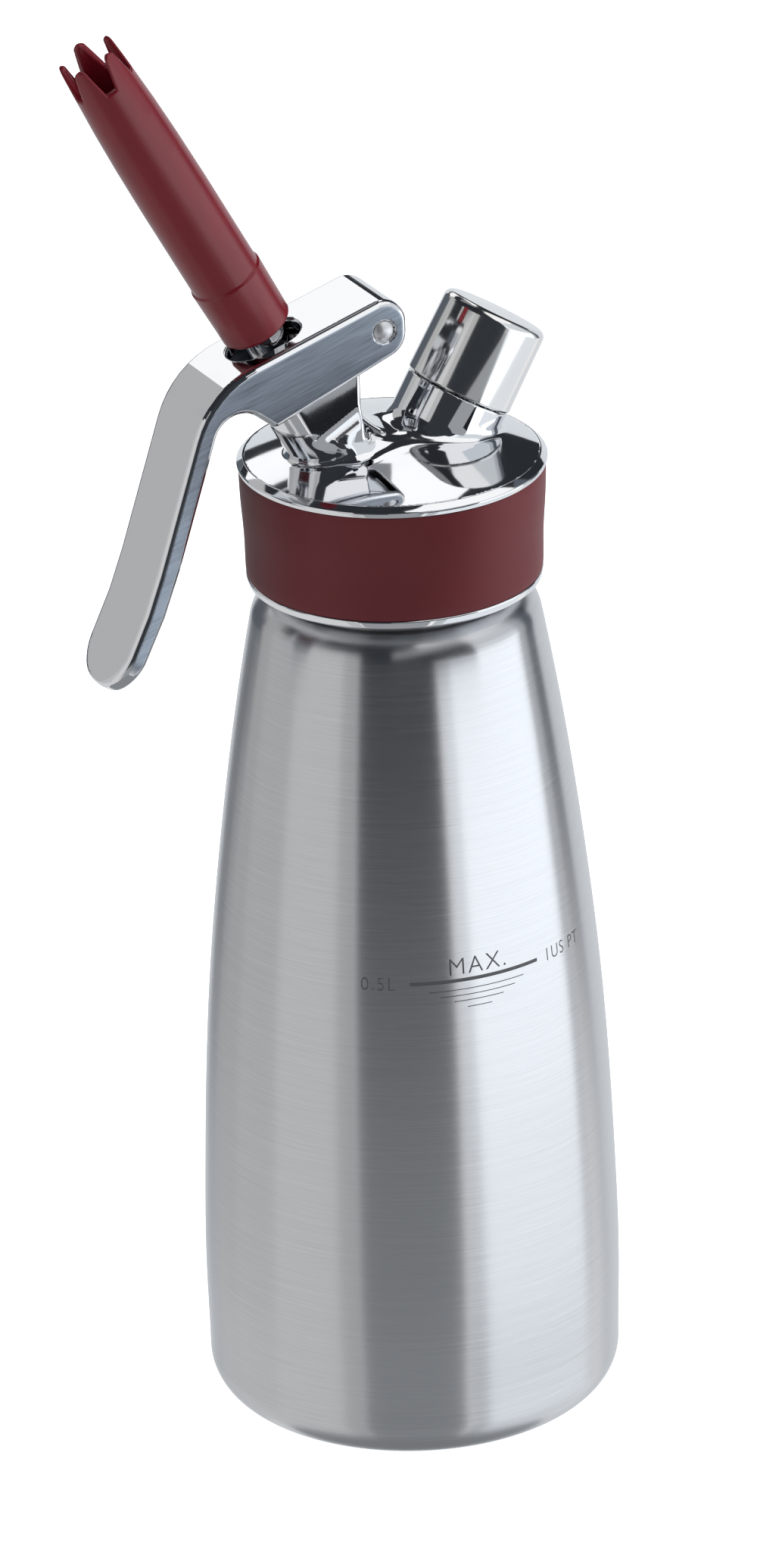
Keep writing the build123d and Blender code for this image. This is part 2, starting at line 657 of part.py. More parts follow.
def tail_rounding(corners):
    """Body that rounds the grip's end in plan and leaves the rest of the lever."""
    tail_end = corners[3][0]
    half = LEVER_W / 2
    middle = add(tail_end, along(90 - TAIL_LEAN, half))
    lean = Pos(middle[0], 0, middle[1]) * Rot(0, TAIL_LEAN, 0)
    end = Rot(0, 90, 0) * Cylinder(half, 6 * TAIL_T)
    rest = Box(6 * TAIL_T, LEVER_W, GRIP_LENGTH, align=(Align.CENTER, Align.CENTER, Align.MIN))
    above = Box(LONG, LEVER_W, LONG, align=(Align.CENTER, Align.CENTER, Align.MIN))
    return lean * (end + rest) + Pos(0, 0, middle[1] + half) * above


def lever_pin():
    """Pin through the cheeks and the lug, with domed heads in the cheeks' dimples."""
    half = LEVER_W / 2 + PIN_DOME
    seat = LEVER_W / 2 - PIN_DIMPLE_DEPTH + PIN_HEAD_GAP
    dome = half - seat
    sphere_r = (PIN_HEAD_R**2 + dome**2) / (2 * dome)
    shaft = Cylinder(PIN_R, 2 * seat)
    near_head = Pos(0, 0, half - sphere_r) * Sphere(sphere_r) & rod(PIN_HEAD_R, seat, half)
    far_head = Pos(0, 0, sphere_r - half) * Sphere(sphere_r) & rod(PIN_HEAD_R, -half, -seat)
    body = shaft + near_head + far_head
    return Pos(PIN_X, 0, PIN_Z) * Rot(90, 0, 0) * body


def piercing_pin():
    """Threaded plug with the needle that opens the charger."""
    top = CHARGER_BORE_BOTTOM + PIERCER_T
    plug = rod(CHARGER_BORE_R, CHARGER_BORE_BOTTOM, top)
    hole = Pos(CHARGER_SEAL_HOLE_R / 2 + NEEDLE_R, 0, 0) * rod(NEEDLE_R / 2, CHARGER_BORE_BOTTOM, top)
    for turn in range(PIERCER_HOLES):
        plug = plug - Rot(0, 0, 360 * turn / PIERCER_HOLES) * hole
    recess = Pos(0, 0, CHARGER_BORE_BOTTOM) * Cone(
        CHARGER_SEAL_HOLE_R + NEEDLE_R, GAS_PASSAGE_R, PIERCER_T / 3, align=(Align.CENTER, Align.CENTER, Align.MIN)
    )
    point = Pos(0, 0, top + NEEDLE_LENGTH - 2 * NEEDLE_R) * Cone(
        NEEDLE_R, NEEDLE_R / 4, 2 * NEEDLE_R, align=(Align.CENTER, Align.CENTER, Align.MIN)
    )
    needle = rod(NEEDLE_R, CHARGER_BORE_BOTTOM, top + NEEDLE_LENGTH - 2 * NEEDLE_R) + point
    return CHARGER * (plug - recess + needle)


def charger_seal():
    """Flat ring that the charger's nose presses on."""
    bottom = CHARGER_BORE_BOTTOM + PIERCER_T
    return CHARGER * seal_ring(CHARGER_SEAL_HOLE_R, CHARGER_BORE_R, bottom, bottom + CHARGER_SEAL_T, SEAL_EDGE_R)


def check_disc():
    """Disc of the non-return valve, under the gas passage."""
    top = CHECK_POCKET_TOP - SEAT_GAP
    return CHARGER * rod(CHECK_DISC_R, top - CHECK_DISC_T, top)


def check_plug():
    """Pierced plug that closes the non-return valve's pocket."""
    plug = rod(CHECK_POCKET_R, CHARGER_BOSS_BOTTOM, CHARGER_BOSS_BOTTOM + CHECK_PLUG_T)
    hole = Pos(CHECK_POCKET_R - GAS_PASSAGE_R, 0, 0) * rod(
        GAS_PASSAGE_R / 2, CHARGER_BOSS_BOTTOM, CHARGER_BOSS_BOTTOM + CHECK_PLUG_T
    )
    for turn in range(PORT_COUNT):
        plug = plug - Rot(0, 0, 360 * turn / PORT_COUNT) * hole
    return CHARGER * plug


def check_spring():
    """Small coil that closes the non-return valve."""
    bottom = CHARGER_BOSS_BOTTOM + CHECK_PLUG_T
    top = CHECK_POCKET_TOP - SEAT_GAP - CHECK_DISC_T
    return CHARGER * coil(CHECK_SPRING_R, CHECK_SPRING_WIRE_R, CHECK_SPRING_TURNS, bottom, top)


def charger_cap():
    """Short cap screwed on the charger neck."""
    bottom = CHARGER_NECK_TOP + CAP_GAP
    height = CAP_TOP - bottom
    shell = Pos(0, 0, bottom) * Cone(
        CAP_FOOT_R, CAP_TOP_R, height, align=(Align.CENTER, Align.CENTER, Align.MIN)
    )
    shell = fillet(shell.edges().group_by(Axis.Z)[-1], CAP_EDGE_R)
    return CHARGER * (shell - rod(SPIGOT_R + CAP_BORE_CLEARANCE, bottom, CHARGER_TIP))


def cap_seal():
    """Flat ring in the cap's top, over the charger neck's mouth."""
    top = CHARGER_TIP
    return CHARGER * seal_ring(CAP_SEAL_HOLE_R, SPIGOT_R, top - CAP_SEAL_T, top, SEAL_EDGE_R)


PARTS = {
    "bottle": bottle,
    "head_body": head_body,
    "grip_ring": grip_ring,
    "head_gasket": head_gasket,
    "valve_bush": valve_bush,
    "stem_seal": stem_seal,
    "valve_stem": valve_stem,
    "poppet_seal": poppet_seal,
    "poppet_nut": poppet_nut,
    "valve_spring": valve_spring,
    "tip_insert": tip_insert,
    "decorator_tip": decorator_tip,
    "lever": lever,
    "lever_pin": lever_pin,
    "piercing_pin": piercing_pin,
    "charger_seal": charger_seal,
    "check_disc": check_disc,
    "check_plug": check_plug,
    "check_spring": check_spring,
    "charger_cap": charger_cap,
    "cap_seal": cap_seal,
}

os.makedirs("parts", exist_ok=True)
for name, make in PARTS.items():
    export_step(make(), f"parts/{name}.step")
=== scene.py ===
"""Whipped cream dispenser: brushed bottle, polished head, lever, soft ring, toothed tip and cap."""

import logging
import math
from collections.abc import Callable, Sequence
from dataclasses import dataclass, field
from enum import Enum

import bpy
import numpy as np
from mathutils import Matrix, Vector


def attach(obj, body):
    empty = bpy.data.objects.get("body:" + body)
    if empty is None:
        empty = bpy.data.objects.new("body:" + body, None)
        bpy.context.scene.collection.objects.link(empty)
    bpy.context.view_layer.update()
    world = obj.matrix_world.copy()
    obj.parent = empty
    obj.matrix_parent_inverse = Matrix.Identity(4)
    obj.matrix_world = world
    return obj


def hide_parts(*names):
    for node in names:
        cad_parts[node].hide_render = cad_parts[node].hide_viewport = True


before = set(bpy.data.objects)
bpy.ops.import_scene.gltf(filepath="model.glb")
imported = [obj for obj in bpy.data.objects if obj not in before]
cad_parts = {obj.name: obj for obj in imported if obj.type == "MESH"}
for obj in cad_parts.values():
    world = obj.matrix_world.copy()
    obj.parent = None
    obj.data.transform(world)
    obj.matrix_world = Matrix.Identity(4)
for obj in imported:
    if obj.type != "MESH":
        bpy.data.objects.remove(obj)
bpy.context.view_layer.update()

LOG = logging.getLogger("dispenser")
MM = 0.001

Point2 = tuple[float, float]
Corner = tuple[float, float, float]
Places = Sequence[Sequence[float]]
Faces = Sequence[Sequence[int]]
Colour = tuple[float, float, float]
Distance = Callable[[np.ndarray], np.ndarray]


class Body(Enum):
    """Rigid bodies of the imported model."""

    BOTTLE = "bottle"
    HEAD = "head"
    LEVER = "lever"
    STEM = "stem"
    TIP = "tip"
    CAP = "cap"


class Grain(Enum):
    """Cells per metre of noise that is stretched along brushing or a mould's flow."""

    ROUND = (70.0, 70.0, 9000.0)
    ROUND_BROAD = (9.0, 9.0, 1100.0)
    ALONG = (160.0, 900.0, 3800.0)
    ALONG_BROAD = (40.0, 200.0, 500.0)
    FLOW = (220.0, 220.0, 60.0)


# ---- shader board


class Sock:
    """An output socket that adds Math nodes when it stands in an expression."""

    def __init__(self, board: "Board", socket: bpy.types.NodeSocket) -> None:
        """Keeps the socket with the board that it belongs to."""
        self.board = board
        self.socket = socket

    def math(self, operation: str, *values: "Sock | float") -> "Sock":
        """Adds one Math node.

        Args:
            operation: Name of the Math node's operation.
            values: Its inputs, in order.

        Returns:
            The node's output.
        """
        return self.board.node("Math", {"operation": operation}, dict(enumerate(values)))

    def __add__(self, other: "Sock | float") -> "Sock":
        """Sum."""
        return self.math("ADD", self, other)

    __radd__ = __add__

    def __sub__(self, other: "Sock | float") -> "Sock":
        """Difference."""
        return self.math("SUBTRACT", self, other)

    def __rsub__(self, other: float) -> "Sock":
        """Difference from a number."""
        return self.math("SUBTRACT", other, self)

    def __mul__(self, other: "Sock | float") -> "Sock":
        """Product."""
        return self.math("MULTIPLY", self, other)

    __rmul__ = __mul__

    def clamp(self, low: float, high: float) -> "Sock":
        """Rescales low to high on to 0 to 1 and stops at both ends."""
        return self.board.node("MapRange", {"clamp": True}, {0: self, 1: low, 2: high})

    def size(self) -> "Sock":
        """Absolute value."""
        return self.math("ABSOLUTE", self)


class Board:
    """Nodes of a material or of the world, added from one method."""

    def __init__(self, owner: "bpy.types.Material | bpy.types.World") -> None:
        """Clears the owner's node tree.

        Args:
            owner: The material or world.
        """
        owner.use_nodes = True
        self.tree = owner.node_tree
        self.tree.nodes.clear()
        self.shader: bpy.types.Node | None = None

    def add(
        self, kind: str, settings: dict | None = None, values: dict | None = None
    ) -> bpy.types.Node:
        """Adds a node.

        Args:
            kind: The node's type, without its ShaderNode prefix.
            settings: Its properties, which are set first.
            values: Numbers, tuples or sockets for its inputs, by name or index.

        Returns:
            The node.
        """
        made = self.tree.nodes.new("ShaderNode" + kind)
        for key, value in (settings or {}).items():
            setattr(made, key, value)
        for key, value in (values or {}).items():
            self.feed(made.inputs[key], value)
        return made

    def node(
        self,
        kind: str,
        settings: dict | None = None,
        values: dict | None = None,
        out: int | str = 0,
    ) -> Sock:
        """Adds a node and gives one of its outputs.

        Args:
            kind: The node's type.
            settings: Its properties.
            values: Its inputs.
            out: The output that is wanted.

        Returns:
            That output.
        """
        return Sock(self, self.add(kind, settings, values).outputs[out])

    def surface(self, shader: Sock, end: str = "OutputMaterial") -> None:
        """Links a shader to the output."""
        self.add(end, None, {"Surface": shader})

    def principled(self) -> None:
        """Gives a material its shader."""
        self.shader = self.add("BsdfPrincipled")
        self.surface(Sock(self, self.shader.outputs[0]))

    def feed(self, target: bpy.types.NodeSocket, value: "Sock | float | Sequence[float]") -> None:
        """Links a socket to an input, or sets its number or colour.

        Args:
            target: The input.
            value: What it is given.
        """
        if isinstance(value, Sock):
            self.tree.links.new(value.socket, target)
        elif isinstance(value, (tuple, list)) and target.type == "RGBA" and len(value) == 3:
            target.default_value = (*value, 1.0)
        else:
            target.default_value = value

    def set(self, **values: "Sock | float | Sequence[float]") -> None:
        """Sets or links the shader's own sockets, named with _ for each space."""
        for key, value in values.items():
            self.feed(self.shader.inputs[key.replace("_", " ")], value)

    def place(self) -> Sock:
        """Place on the piece, in metres."""
        return self.node("TexCoord", out="Object")

    def facing(self) -> Sock:
        """Surface direction in the piece's own frame."""
        return self.node("TexCoord", out="Normal")

    def part(self, vector: Sock, axis: str) -> Sock:
        """One part, X, Y or Z, of a vector."""
        return self.node("SeparateXYZ", None, {0: vector}, axis)

    def noise(
        self, stretch: float | Grain, detail: float = 2.0, vector: Sock | None = None
    ) -> Sock:
        """Noise over the piece.

        Args:
            stretch: Cells per metre, the same each way or along a grain.
            detail: The noise's detail.
            vector: Place to read it at, the piece's own where left out.

        Returns:
            The noise's value, about 0.5 in the middle.
        """
        cells = stretch.value if isinstance(stretch, Grain) else (stretch,) * 3
        inputs = {0: vector or self.place(), 1: cells}
        spread = self.node("VectorMath", {"operation": "MULTIPLY"}, inputs)
        return self.node("TexNoise", None, {"Vector": spread, "Scale": 1.0, "Detail": detail})

    def blend(self, share: Sock | float, first: Sock | Colour, second: Sock | Colour) -> Sock:
        """Mixes two colours.

        Args:
            share: How much of the second colour there is, from 0 to 1.
            first: A colour.
            second: Another.

        Returns:
            The mixed colour.
        """
        first = first if isinstance(first, Sock) else (*first, 1.0)
        second = second if isinstance(second, Sock) else (*second, 1.0)
        return self.node("Mix", {"data_type": "RGBA"}, {0: share, 6: first, 7: second}, 2)

    def bump(self, height: Sock, depth: float, strength: float = 1.0) -> None:
        """Feeds a height, whose full range is depth metres, to the shader's normal."""
        values = {"Height": height, "Distance": depth, "Strength": strength}
        self.set(Normal=self.node("Bump", None, values))


# ---- finishes


@dataclass(frozen=True)
class Finish:
    """A surface finish, made once as a material."""

    name: str
    colour: Colour

    def material(self) -> bpy.types.Material:
        """Makes the finish's material at its first use.

        Returns:
            The material.
        """
        found = bpy.data.materials.get(self.name)
        if found is None:
            found = bpy.data.materials.new(self.name)
            board = Board(found)
            board.principled()
            self.paint(board)
        return found

    def paint(self, board: Board) -> None:
        """Sets the shader's nodes."""
        board.set(Base_Color=self.colour)

    def shade(self, part: float) -> Colour:
        """The finish's colour times a number."""
        return tuple(c * part for c in self.colour)

    def mottle(self, share: Sock, low: float, high: float) -> Sock:
        """The finish's colour from low to high times itself, by an uneven share."""
        return share.board.blend(share.clamp(0.3, 0.7), self.shade(low), self.shade(high))


@dataclass(frozen=True)
class BrushedSteel(Finish):
    """Steel with fine brushing round the bottle."""

    roughness: float = 0.3

    def paint(self, board: Board) -> None:
        """Streaks in colour, roughness and relief, and a blur across them.

        Args:
            board: The material's nodes.
        """
        fine = board.noise(Grain.ROUND, 3.0)
        broad = board.noise(Grain.ROUND_BROAD)
        streak = fine * 0.8 + broad * 0.2
        board.set(
            Base_Color=self.mottle(streak, 0.92, 1.05),
            Metallic=1.0,
            Roughness=streak * 0.08 + (self.roughness - 0.04),
            Anisotropic=0.85,
            Anisotropic_Rotation=0.25,
        )
        board.bump(fine, 0.000006, 0.5)


@dataclass(frozen=True)
class PolishedSteel(Finish):
    """Mirror-polished casting with faint waviness and smears."""

    roughness: float = 0.05

    def paint(self, board: Board) -> None:
        """Smears in roughness and a faint unevenness in relief.

        Args:
            board: The material's nodes.
        """
        smear = board.noise(60.0, 4.0)
        pits = board.noise(1500.0)
        board.set(
            Base_Color=board.blend(smear.clamp(0.35, 0.7), self.colour, self.shade(0.97)),
            Metallic=1.0,
            Roughness=smear.clamp(0.4, 0.8) * 0.05 + self.roughness,
        )
        board.bump(smear + pits * 0.01, 0.00006, 0.35)


@dataclass(frozen=True)
class LeverSteel(Finish):
    """Polished lever whose flat sides are brushed along it, with a darker, bluish base colour on
    the sides as painted shade and painted reflection.
    """

    slope: float = 17.5
    # base colour of the brushed sides: darker and bluer than the top as painted shade and painted
    # reflection of the dim, cool surroundings
    side: Colour = (0.285, 0.32, 0.375)

    def paint(self, board: Board) -> None:
        """Mirror finish on top and brushing on the faces that look sideways, which get a darker,
        bluish base colour as painted shade and reflection.

        Args:
            board: The material's nodes.
        """
        side = board.part(board.facing(), "Y").size().clamp(0.93, 0.985)
        turned = board.node(
            "VectorRotate",
            {"rotation_type": "Y_AXIS"},
            {"Vector": board.place(), "Angle": math.radians(self.slope)},
        )
        grain = board.noise(Grain.ALONG, 3.0, turned)
        broad = board.noise(Grain.ALONG_BROAD, 2.0, turned)
        smear = board.noise(70.0, 3.0)
        streak = grain * 0.55 + broad * 0.45
        scratch = streak.clamp(0.35, 0.65)
        low = tuple(c * 0.72 for c in self.side)
        high = tuple(c * 1.25 for c in self.side)
        board.set(
            # sideways faces take the darker, bluish side colour, which is painted shade and
            # reflection; the streaks in it are real brushing
            Base_Color=board.blend(side, self.colour, board.blend(scratch, low, high)),
            Metallic=1.0,
            Roughness=side * (scratch * 0.1 + 0.26) + (smear * 0.03 + 0.06),
            Anisotropic=0.6,
            Anisotropic_Rotation=0.299,
        )
        board.bump(side * streak + smear * 0.15, 0.00003, 0.6)


@dataclass(frozen=True)
class TurnedMetal(Finish):
    """Turned, fairly bright metal for small parts."""

    roughness: float = 0.22

    def paint(self, board: Board) -> None:
        """Faint tool marks.

        Args:
            board: The material's nodes.
        """
        marks = board.noise(900.0, 3.0)
        board.set(
            Base_Color=self.mottle(marks, 0.9, 1.05),
            Metallic=1.0,
            Roughness=marks * 0.12 + self.roughness,
        )
        board.bump(marks, 0.00001, 0.4)


@dataclass(frozen=True)
class Silicone(Finish):
    """Matte moulded silicone with a fine skin."""

    roughness: float = 0.55

    def paint(self, board: Board) -> None:
        """Fine skin, cloudy colour and a faint sheen.

        Args:
            board: The material's nodes.
        """
        skin = board.noise(2600.0, 3.0)
        cloud = board.noise(35.0, 3.0)
        board.set(
            Base_Color=self.mottle(cloud, 0.93, 1.07),
            Roughness=cloud * 0.08 + skin * 0.06 + (self.roughness - 0.07),
            Specular_IOR_Level=0.3,
            Sheen_Weight=0.02,
            Sheen_Roughness=0.5,
        )
        board.bump(skin, 0.00002, 0.35)


@dataclass(frozen=True)
class MouldedPlastic(Finish):
    """Smooth moulded plastic with slight sink and flow marks."""

    roughness: float = 0.28

    def paint(self, board: Board) -> None:
        """Soft unevenness in gloss and relief.

        Args:
            board: The material's nodes.
        """
        flow = board.noise(Grain.FLOW)
        grain = board.noise(3000.0)
        board.set(
            Base_Color=self.mottle(flow, 0.95, 1.06),
            Roughness=flow * 0.08 + grain * 0.05 + (self.roughness - 0.06),
            Specular_IOR_Level=0.45,
        )
        board.bump(flow + grain * 0.08, 0.00004, 0.3)


@dataclass(frozen=True)
class Ink(Finish):
    """Etched grey marking."""

    def paint(self, board: Board) -> None:
        """Matte, slightly uneven grey.

        Args:
            board: The material's nodes.
        """
        grain = board.noise(4000.0)
        board.set(
            Base_Color=self.mottle(grain, 0.85, 1.15), Metallic=0.4, Roughness=grain * 0.1 + 0.5
        )


BOTTLE_STEEL = BrushedSteel("brushed_bottle_steel", (0.62, 0.625, 0.64), 0.25)
HEAD_STEEL = PolishedSteel("polished_head_steel", (0.8, 0.81, 0.83), 0.045)
CAP_STEEL = PolishedSteel("polished_cap_steel", (0.78, 0.78, 0.78), 0.11)
LEVER_STEEL = LeverSteel("lever_steel", (0.78, 0.785, 0.8))
PIN_STEEL = TurnedMetal("pin_steel", (0.75, 0.76, 0.78), 0.08)
STEM_STEEL = TurnedMetal("turned_steel", (0.66, 0.66, 0.67), 0.15)
# polished stem steel whose darkened colour is painted shade of the slot it stands in
STEM_POLISH_PAINTED_SHADE = PolishedSteel("stem_polish_painted_shade", (0.42, 0.42, 0.43), 0.06)
SPRING_WIRE = TurnedMetal("spring_wire", (0.55, 0.55, 0.56), 0.25)
BRASS = TurnedMetal("turned_brass", (0.62, 0.42, 0.16), 0.22)
RING_SILICONE = Silicone("ring_silicone", (0.093, 0.0085, 0.012), 0.5)
SEAL_RUBBER = Silicone("seal_rubber", (0.3, 0.03, 0.03), 0.5)
TIP_PLASTIC = MouldedPlastic("tip_plastic", (0.125, 0.0055, 0.011), 0.22)
MARK_INK = Ink("fill_mark_grey", (0.09, 0.09, 0.095))


# ---- shapes


@dataclass(frozen=True)
class Axis:
    """A leaning axis in the XZ plane; its local Z runs along it."""

    x: float
    tilt: float
    z: float = 198.9

    def matrix(self) -> Matrix:
        """Local frame to row frame, in millimetres."""
        turn = Matrix.Rotation(math.radians(self.tilt), 4, "Y")
        return Matrix.Translation((self.x, 0.0, self.z)) @ turn

    def local(self, p: np.ndarray) -> tuple[np.ndarray, np.ndarray, np.ndarray]:
        """Splits points into parts across and along the axis.

        Args:
            p: Points in millimetres.

        Returns:
            Local x, local y and distance along the axis.
        """
        lean = math.radians(self.tilt)
        dx = p[:, 0] - self.x
        dz = p[:, 2] - self.z
        c, s = math.cos(lean), math.sin(lean)
        return dx * c - dz * s, p[:, 1], dx * s + dz * c


UPRIGHT = Axis(0.0, 0.0, 0.0)
VALVE = Axis(-10.3, -29.0)
CHARGER = Axis(8.5, 30.5)


@dataclass(frozen=True)
class Rod:
    """Round rod or hole along an axis, between two places along it."""

    radius: float
    low: float = -math.inf
    high: float = math.inf

    def distance(self, r: np.ndarray, s: np.ndarray) -> np.ndarray:
        """Distance to it, with r out from the axis and s along it."""
        return np.maximum(r - self.radius, np.maximum(self.low - s, s - self.high))


def rounded(corners: Sequence[Corner], step: float) -> list[Point2]:
    """Rounds the corners of an outline with arcs.

    Args:
        corners: (x, z, radius) in order, with radius 0 at sharp corners and at the outline's ends.
        step: Largest turn between two points of an arc, in degrees.

    Returns:
        Points along the rounded outline.
    """
    made: list[Point2] = []
    points = [Vector((x, z)) for x, z, _ in corners]
    for i, (x, z, radius) in enumerate(corners):
        if radius <= 0:
            made.append((x, z))
            continue
        here = points[i]
        back = (points[i - 1] - here).normalized()
        ahead = (points[(i + 1) % len(points)] - here).normalized()
        half = math.acos(max(-1.0, min(1.0, back.dot(ahead)))) / 2
        reach = radius / math.tan(half)
        centre = here + (back + ahead).normalized() * (radius / math.sin(half))
        start = here + back * reach - centre
        turn = math.pi - 2 * half
        side = 1.0 if back.x * ahead.y - back.y * ahead.x < 0 else -1.0
        steps = max(2, math.ceil(math.degrees(turn) / step))
        for k in range(steps + 1):
            angle = side * turn * k / steps
            c, s = math.cos(angle), math.sin(angle)
            across = centre.x + start.x * c - start.y * s
            made.append((across, centre.y + start.x * s + start.y * c))
    return made


def smooth_curve(knots: Sequence[Point2], first: float, last: float, count: int) -> list[Point2]:
    """Cubic curve of radius over height through knots.

    Args:
        knots: (radius, height) pairs, upwards.
        first: Slope of the radius at the first knot.
        last: Slope at the last knot.
        count: Number of points made.

    Returns:
        (radius, height) points.
    """
    r = np.array([k[0] for k in knots])
    z = np.array([k[1] for k in knots])
    h = np.diff(z)
    n = len(z)
    system = np.zeros((n, n))
    right = np.zeros(n)
    system[0, 0] = system[-1, -1] = 1.0
    right[0], right[-1] = first, last
    for i in range(1, n - 1):
        system[i, i - 1 : i + 2] = h[i], 2 * (h[i - 1] + h[i]), h[i - 1]
        right[i] = 3 * (h[i] * (r[i] - r[i - 1]) / h[i - 1] + h[i - 1] * (r[i + 1] - r[i]) / h[i])
    slope = np.linalg.solve(system, right)
    at = np.linspace(z[0], z[-1], count)
    seg = np.clip(np.searchsorted(z, at, side="right") - 1, 0, n - 2)
    t = (at - z[seg]) / h[seg]
    value = (
        (2 * t**3 - 3 * t**2 + 1) * r[seg]
        + (t**3 - 2 * t**2 + t) * h[seg] * slope[seg]
        + (3 * t**2 - 2 * t**3) * r[seg + 1]
        + (t**3 - t**2) * h[seg] * slope[seg + 1]
    )
    return list(zip(value.tolist(), at.tolist()))


@dataclass
class Piece:
    """Where a mesh goes: its name, body, finish, record slot and the nodes it stands for."""

    name: str
    body: Body
    finish: Finish
    slot: str
    nodes: tuple[str, ...] = ()

    def make(self, points: np.ndarray, faces: Faces, sharp: float = 35.0) -> bpy.types.Object:
        """Makes the mesh and puts it on its body.

        Args:
            points: Corners in millimetres, in the row frame.
            faces: Corner numbers of each face.
            sharp: Angle in degrees above which an edge stays sharp, 0 for none.

        Returns:
            The object.
        """
        mesh = bpy.data.meshes.new(self.name)
        mesh.from_pydata((np.asarray(points, float) * MM).tolist(), [], faces)
        mesh.validate()
        mesh.shade_smooth()
        if sharp:
            mesh.set_sharp_from_angle(angle=math.radians(sharp))
        mesh.materials.append(self.finish.material())
        obj = bpy.data.objects.new(self.name, mesh)
        bpy.context.scene.collection.objects.link(obj)
        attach(obj, self.body.value)
        if self.nodes:
            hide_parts(*self.nodes)
        LOG.info("%s: %d faces on %s", self.name, len(mesh.polygons), self.body.value)
        return obj

    def lathe(
        self, profile: Sequence[Point2], axis: Axis = UPRIGHT, steps: int = 256
    ) -> bpy.types.Object:
        """Turns a closed (radius, height) profile about an axis.

        Args:
            profile: Corners of the section, anticlockwise; those at radius 0 become a pole.
            axis: The axis to turn about.
            steps: Number of steps round.

        Returns:
            The object.
        """
        turn = np.linspace(0, 2 * math.pi, steps, endpoint=False)
        rows: list[np.ndarray] = []
        corners: list[np.ndarray] = []
        total = 0
        for radius, height in profile:
            if radius < 1e-6:
                corners.append(np.array([[0.0, 0.0, height]]))
                rows.append(np.full(steps, total))
                total += 1
            else:
                flat = [radius * np.cos(turn), radius * np.sin(turn)]
                corners.append(np.stack([*flat, np.full(steps, height)], axis=1))
                rows.append(np.arange(total, total + steps))
                total += steps
        faces: list[tuple[int, ...]] = []
        for i, row in enumerate(rows):
            above = rows[(i + 1) % len(rows)]
            for k in range(steps):
                loop = (row[k], row[(k + 1) % steps], above[(k + 1) % steps], above[k])
                face = tuple(int(v) for n, v in enumerate(loop) if v != loop[n - 1])
                if len(face) > 2:
                    faces.append(face)
        place = axis.matrix()
        points = np.concatenate(corners) @ np.array(place.to_3x3()).T + np.array(place.translation)
        return self.make(points, faces)

    def skin(self, distance: Distance, low: Corner, high: Corner, cell: float) -> bpy.types.Object:
        """Covers a distance function with quads.

        Args:
            distance: Signed distance in millimetres at points, negative inside.
            low: Lowest corner of the space searched.
            high: Highest corner.
            cell: Size of a quad in millimetres.

        Returns:
            The object.
        """
        points, faces = cover(distance, np.array(low, float), np.array(high, float), cell)
        for _ in range(4):
            slope = gradient(distance, points)
            length = np.maximum((slope**2).sum(1), 0.05)
            move = slope * (distance(points) / length)[:, None]
            size = np.linalg.norm(move, axis=1, keepdims=True)
            points = points - move * np.minimum(1.0, 0.5 * cell / np.maximum(size, 1e-9))
        slope = gradient(distance, points)
        normals = slope / np.maximum(np.linalg.norm(slope, axis=1, keepdims=True), 1e-9)
        obj = self.make(points, faces, 0.0)
        obj.data.normals_split_custom_set_from_vertices(normals.tolist())
        return obj


CUBE = [(i, j, k) for i in (0, 1) for j in (0, 1) for k in (0, 1)]
BLOCK = 4


def gradient(distance: Distance, points: np.ndarray, reach: float = 0.02) -> np.ndarray:
    """Slope of a distance function.

    Args:
        distance: The distance function.
        points: Where it is wanted.
        reach: Half the step that it is measured over.

    Returns:
        A vector for each point.
    """
    parts = []
    for axis in range(3):
        step = np.zeros(3)
        step[axis] = reach
        parts.append((distance(points + step) - distance(points - step)) / (2 * reach))
    return np.stack(parts, axis=1)


def window(values: np.ndarray, start: Sequence[int], shape: Sequence[int]) -> np.ndarray:
    """Part of a grid with a given start and shape."""
    return values[tuple(slice(a, a + n) for a, n in zip(start, shape))]


def sample(distance: Distance, low: np.ndarray, count: np.ndarray, cell: float) -> np.ndarray:
    """Reads a distance function on a grid, finely only near its surface.

    Args:
        distance: The distance function.
        low: Lowest corner.
        count: Number of blocks along each axis.
        cell: Grid step.

    Returns:
        Values on the grid.
    """
    span = BLOCK * cell
    knots = np.stack(np.meshgrid(*[np.arange(n + 1) for n in count], indexing="ij"), axis=-1)
    rough = distance((low + knots.reshape(-1, 3) * span)).reshape(knots.shape[:3])
    near = np.min([np.abs(window(rough, corner, count)) for corner in CUBE], axis=0)
    active = np.argwhere(near < span * 1.75)
    values = np.repeat(np.repeat(np.repeat(rough, BLOCK, 0), BLOCK, 1), BLOCK, 2)
    values = window(values, (0, 0, 0), count * BLOCK + 1)
    steps = [np.arange(BLOCK + 1)] * 3
    inner = np.stack(np.meshgrid(*steps, indexing="ij"), axis=-1).reshape(-1, 3)
    for start in range(0, len(active), 4000):
        grid = (active[start : start + 4000, None, :] * BLOCK + inner[None]).reshape(-1, 3)
        values[grid[:, 0], grid[:, 1], grid[:, 2]] = distance(low + grid * cell)
    return values


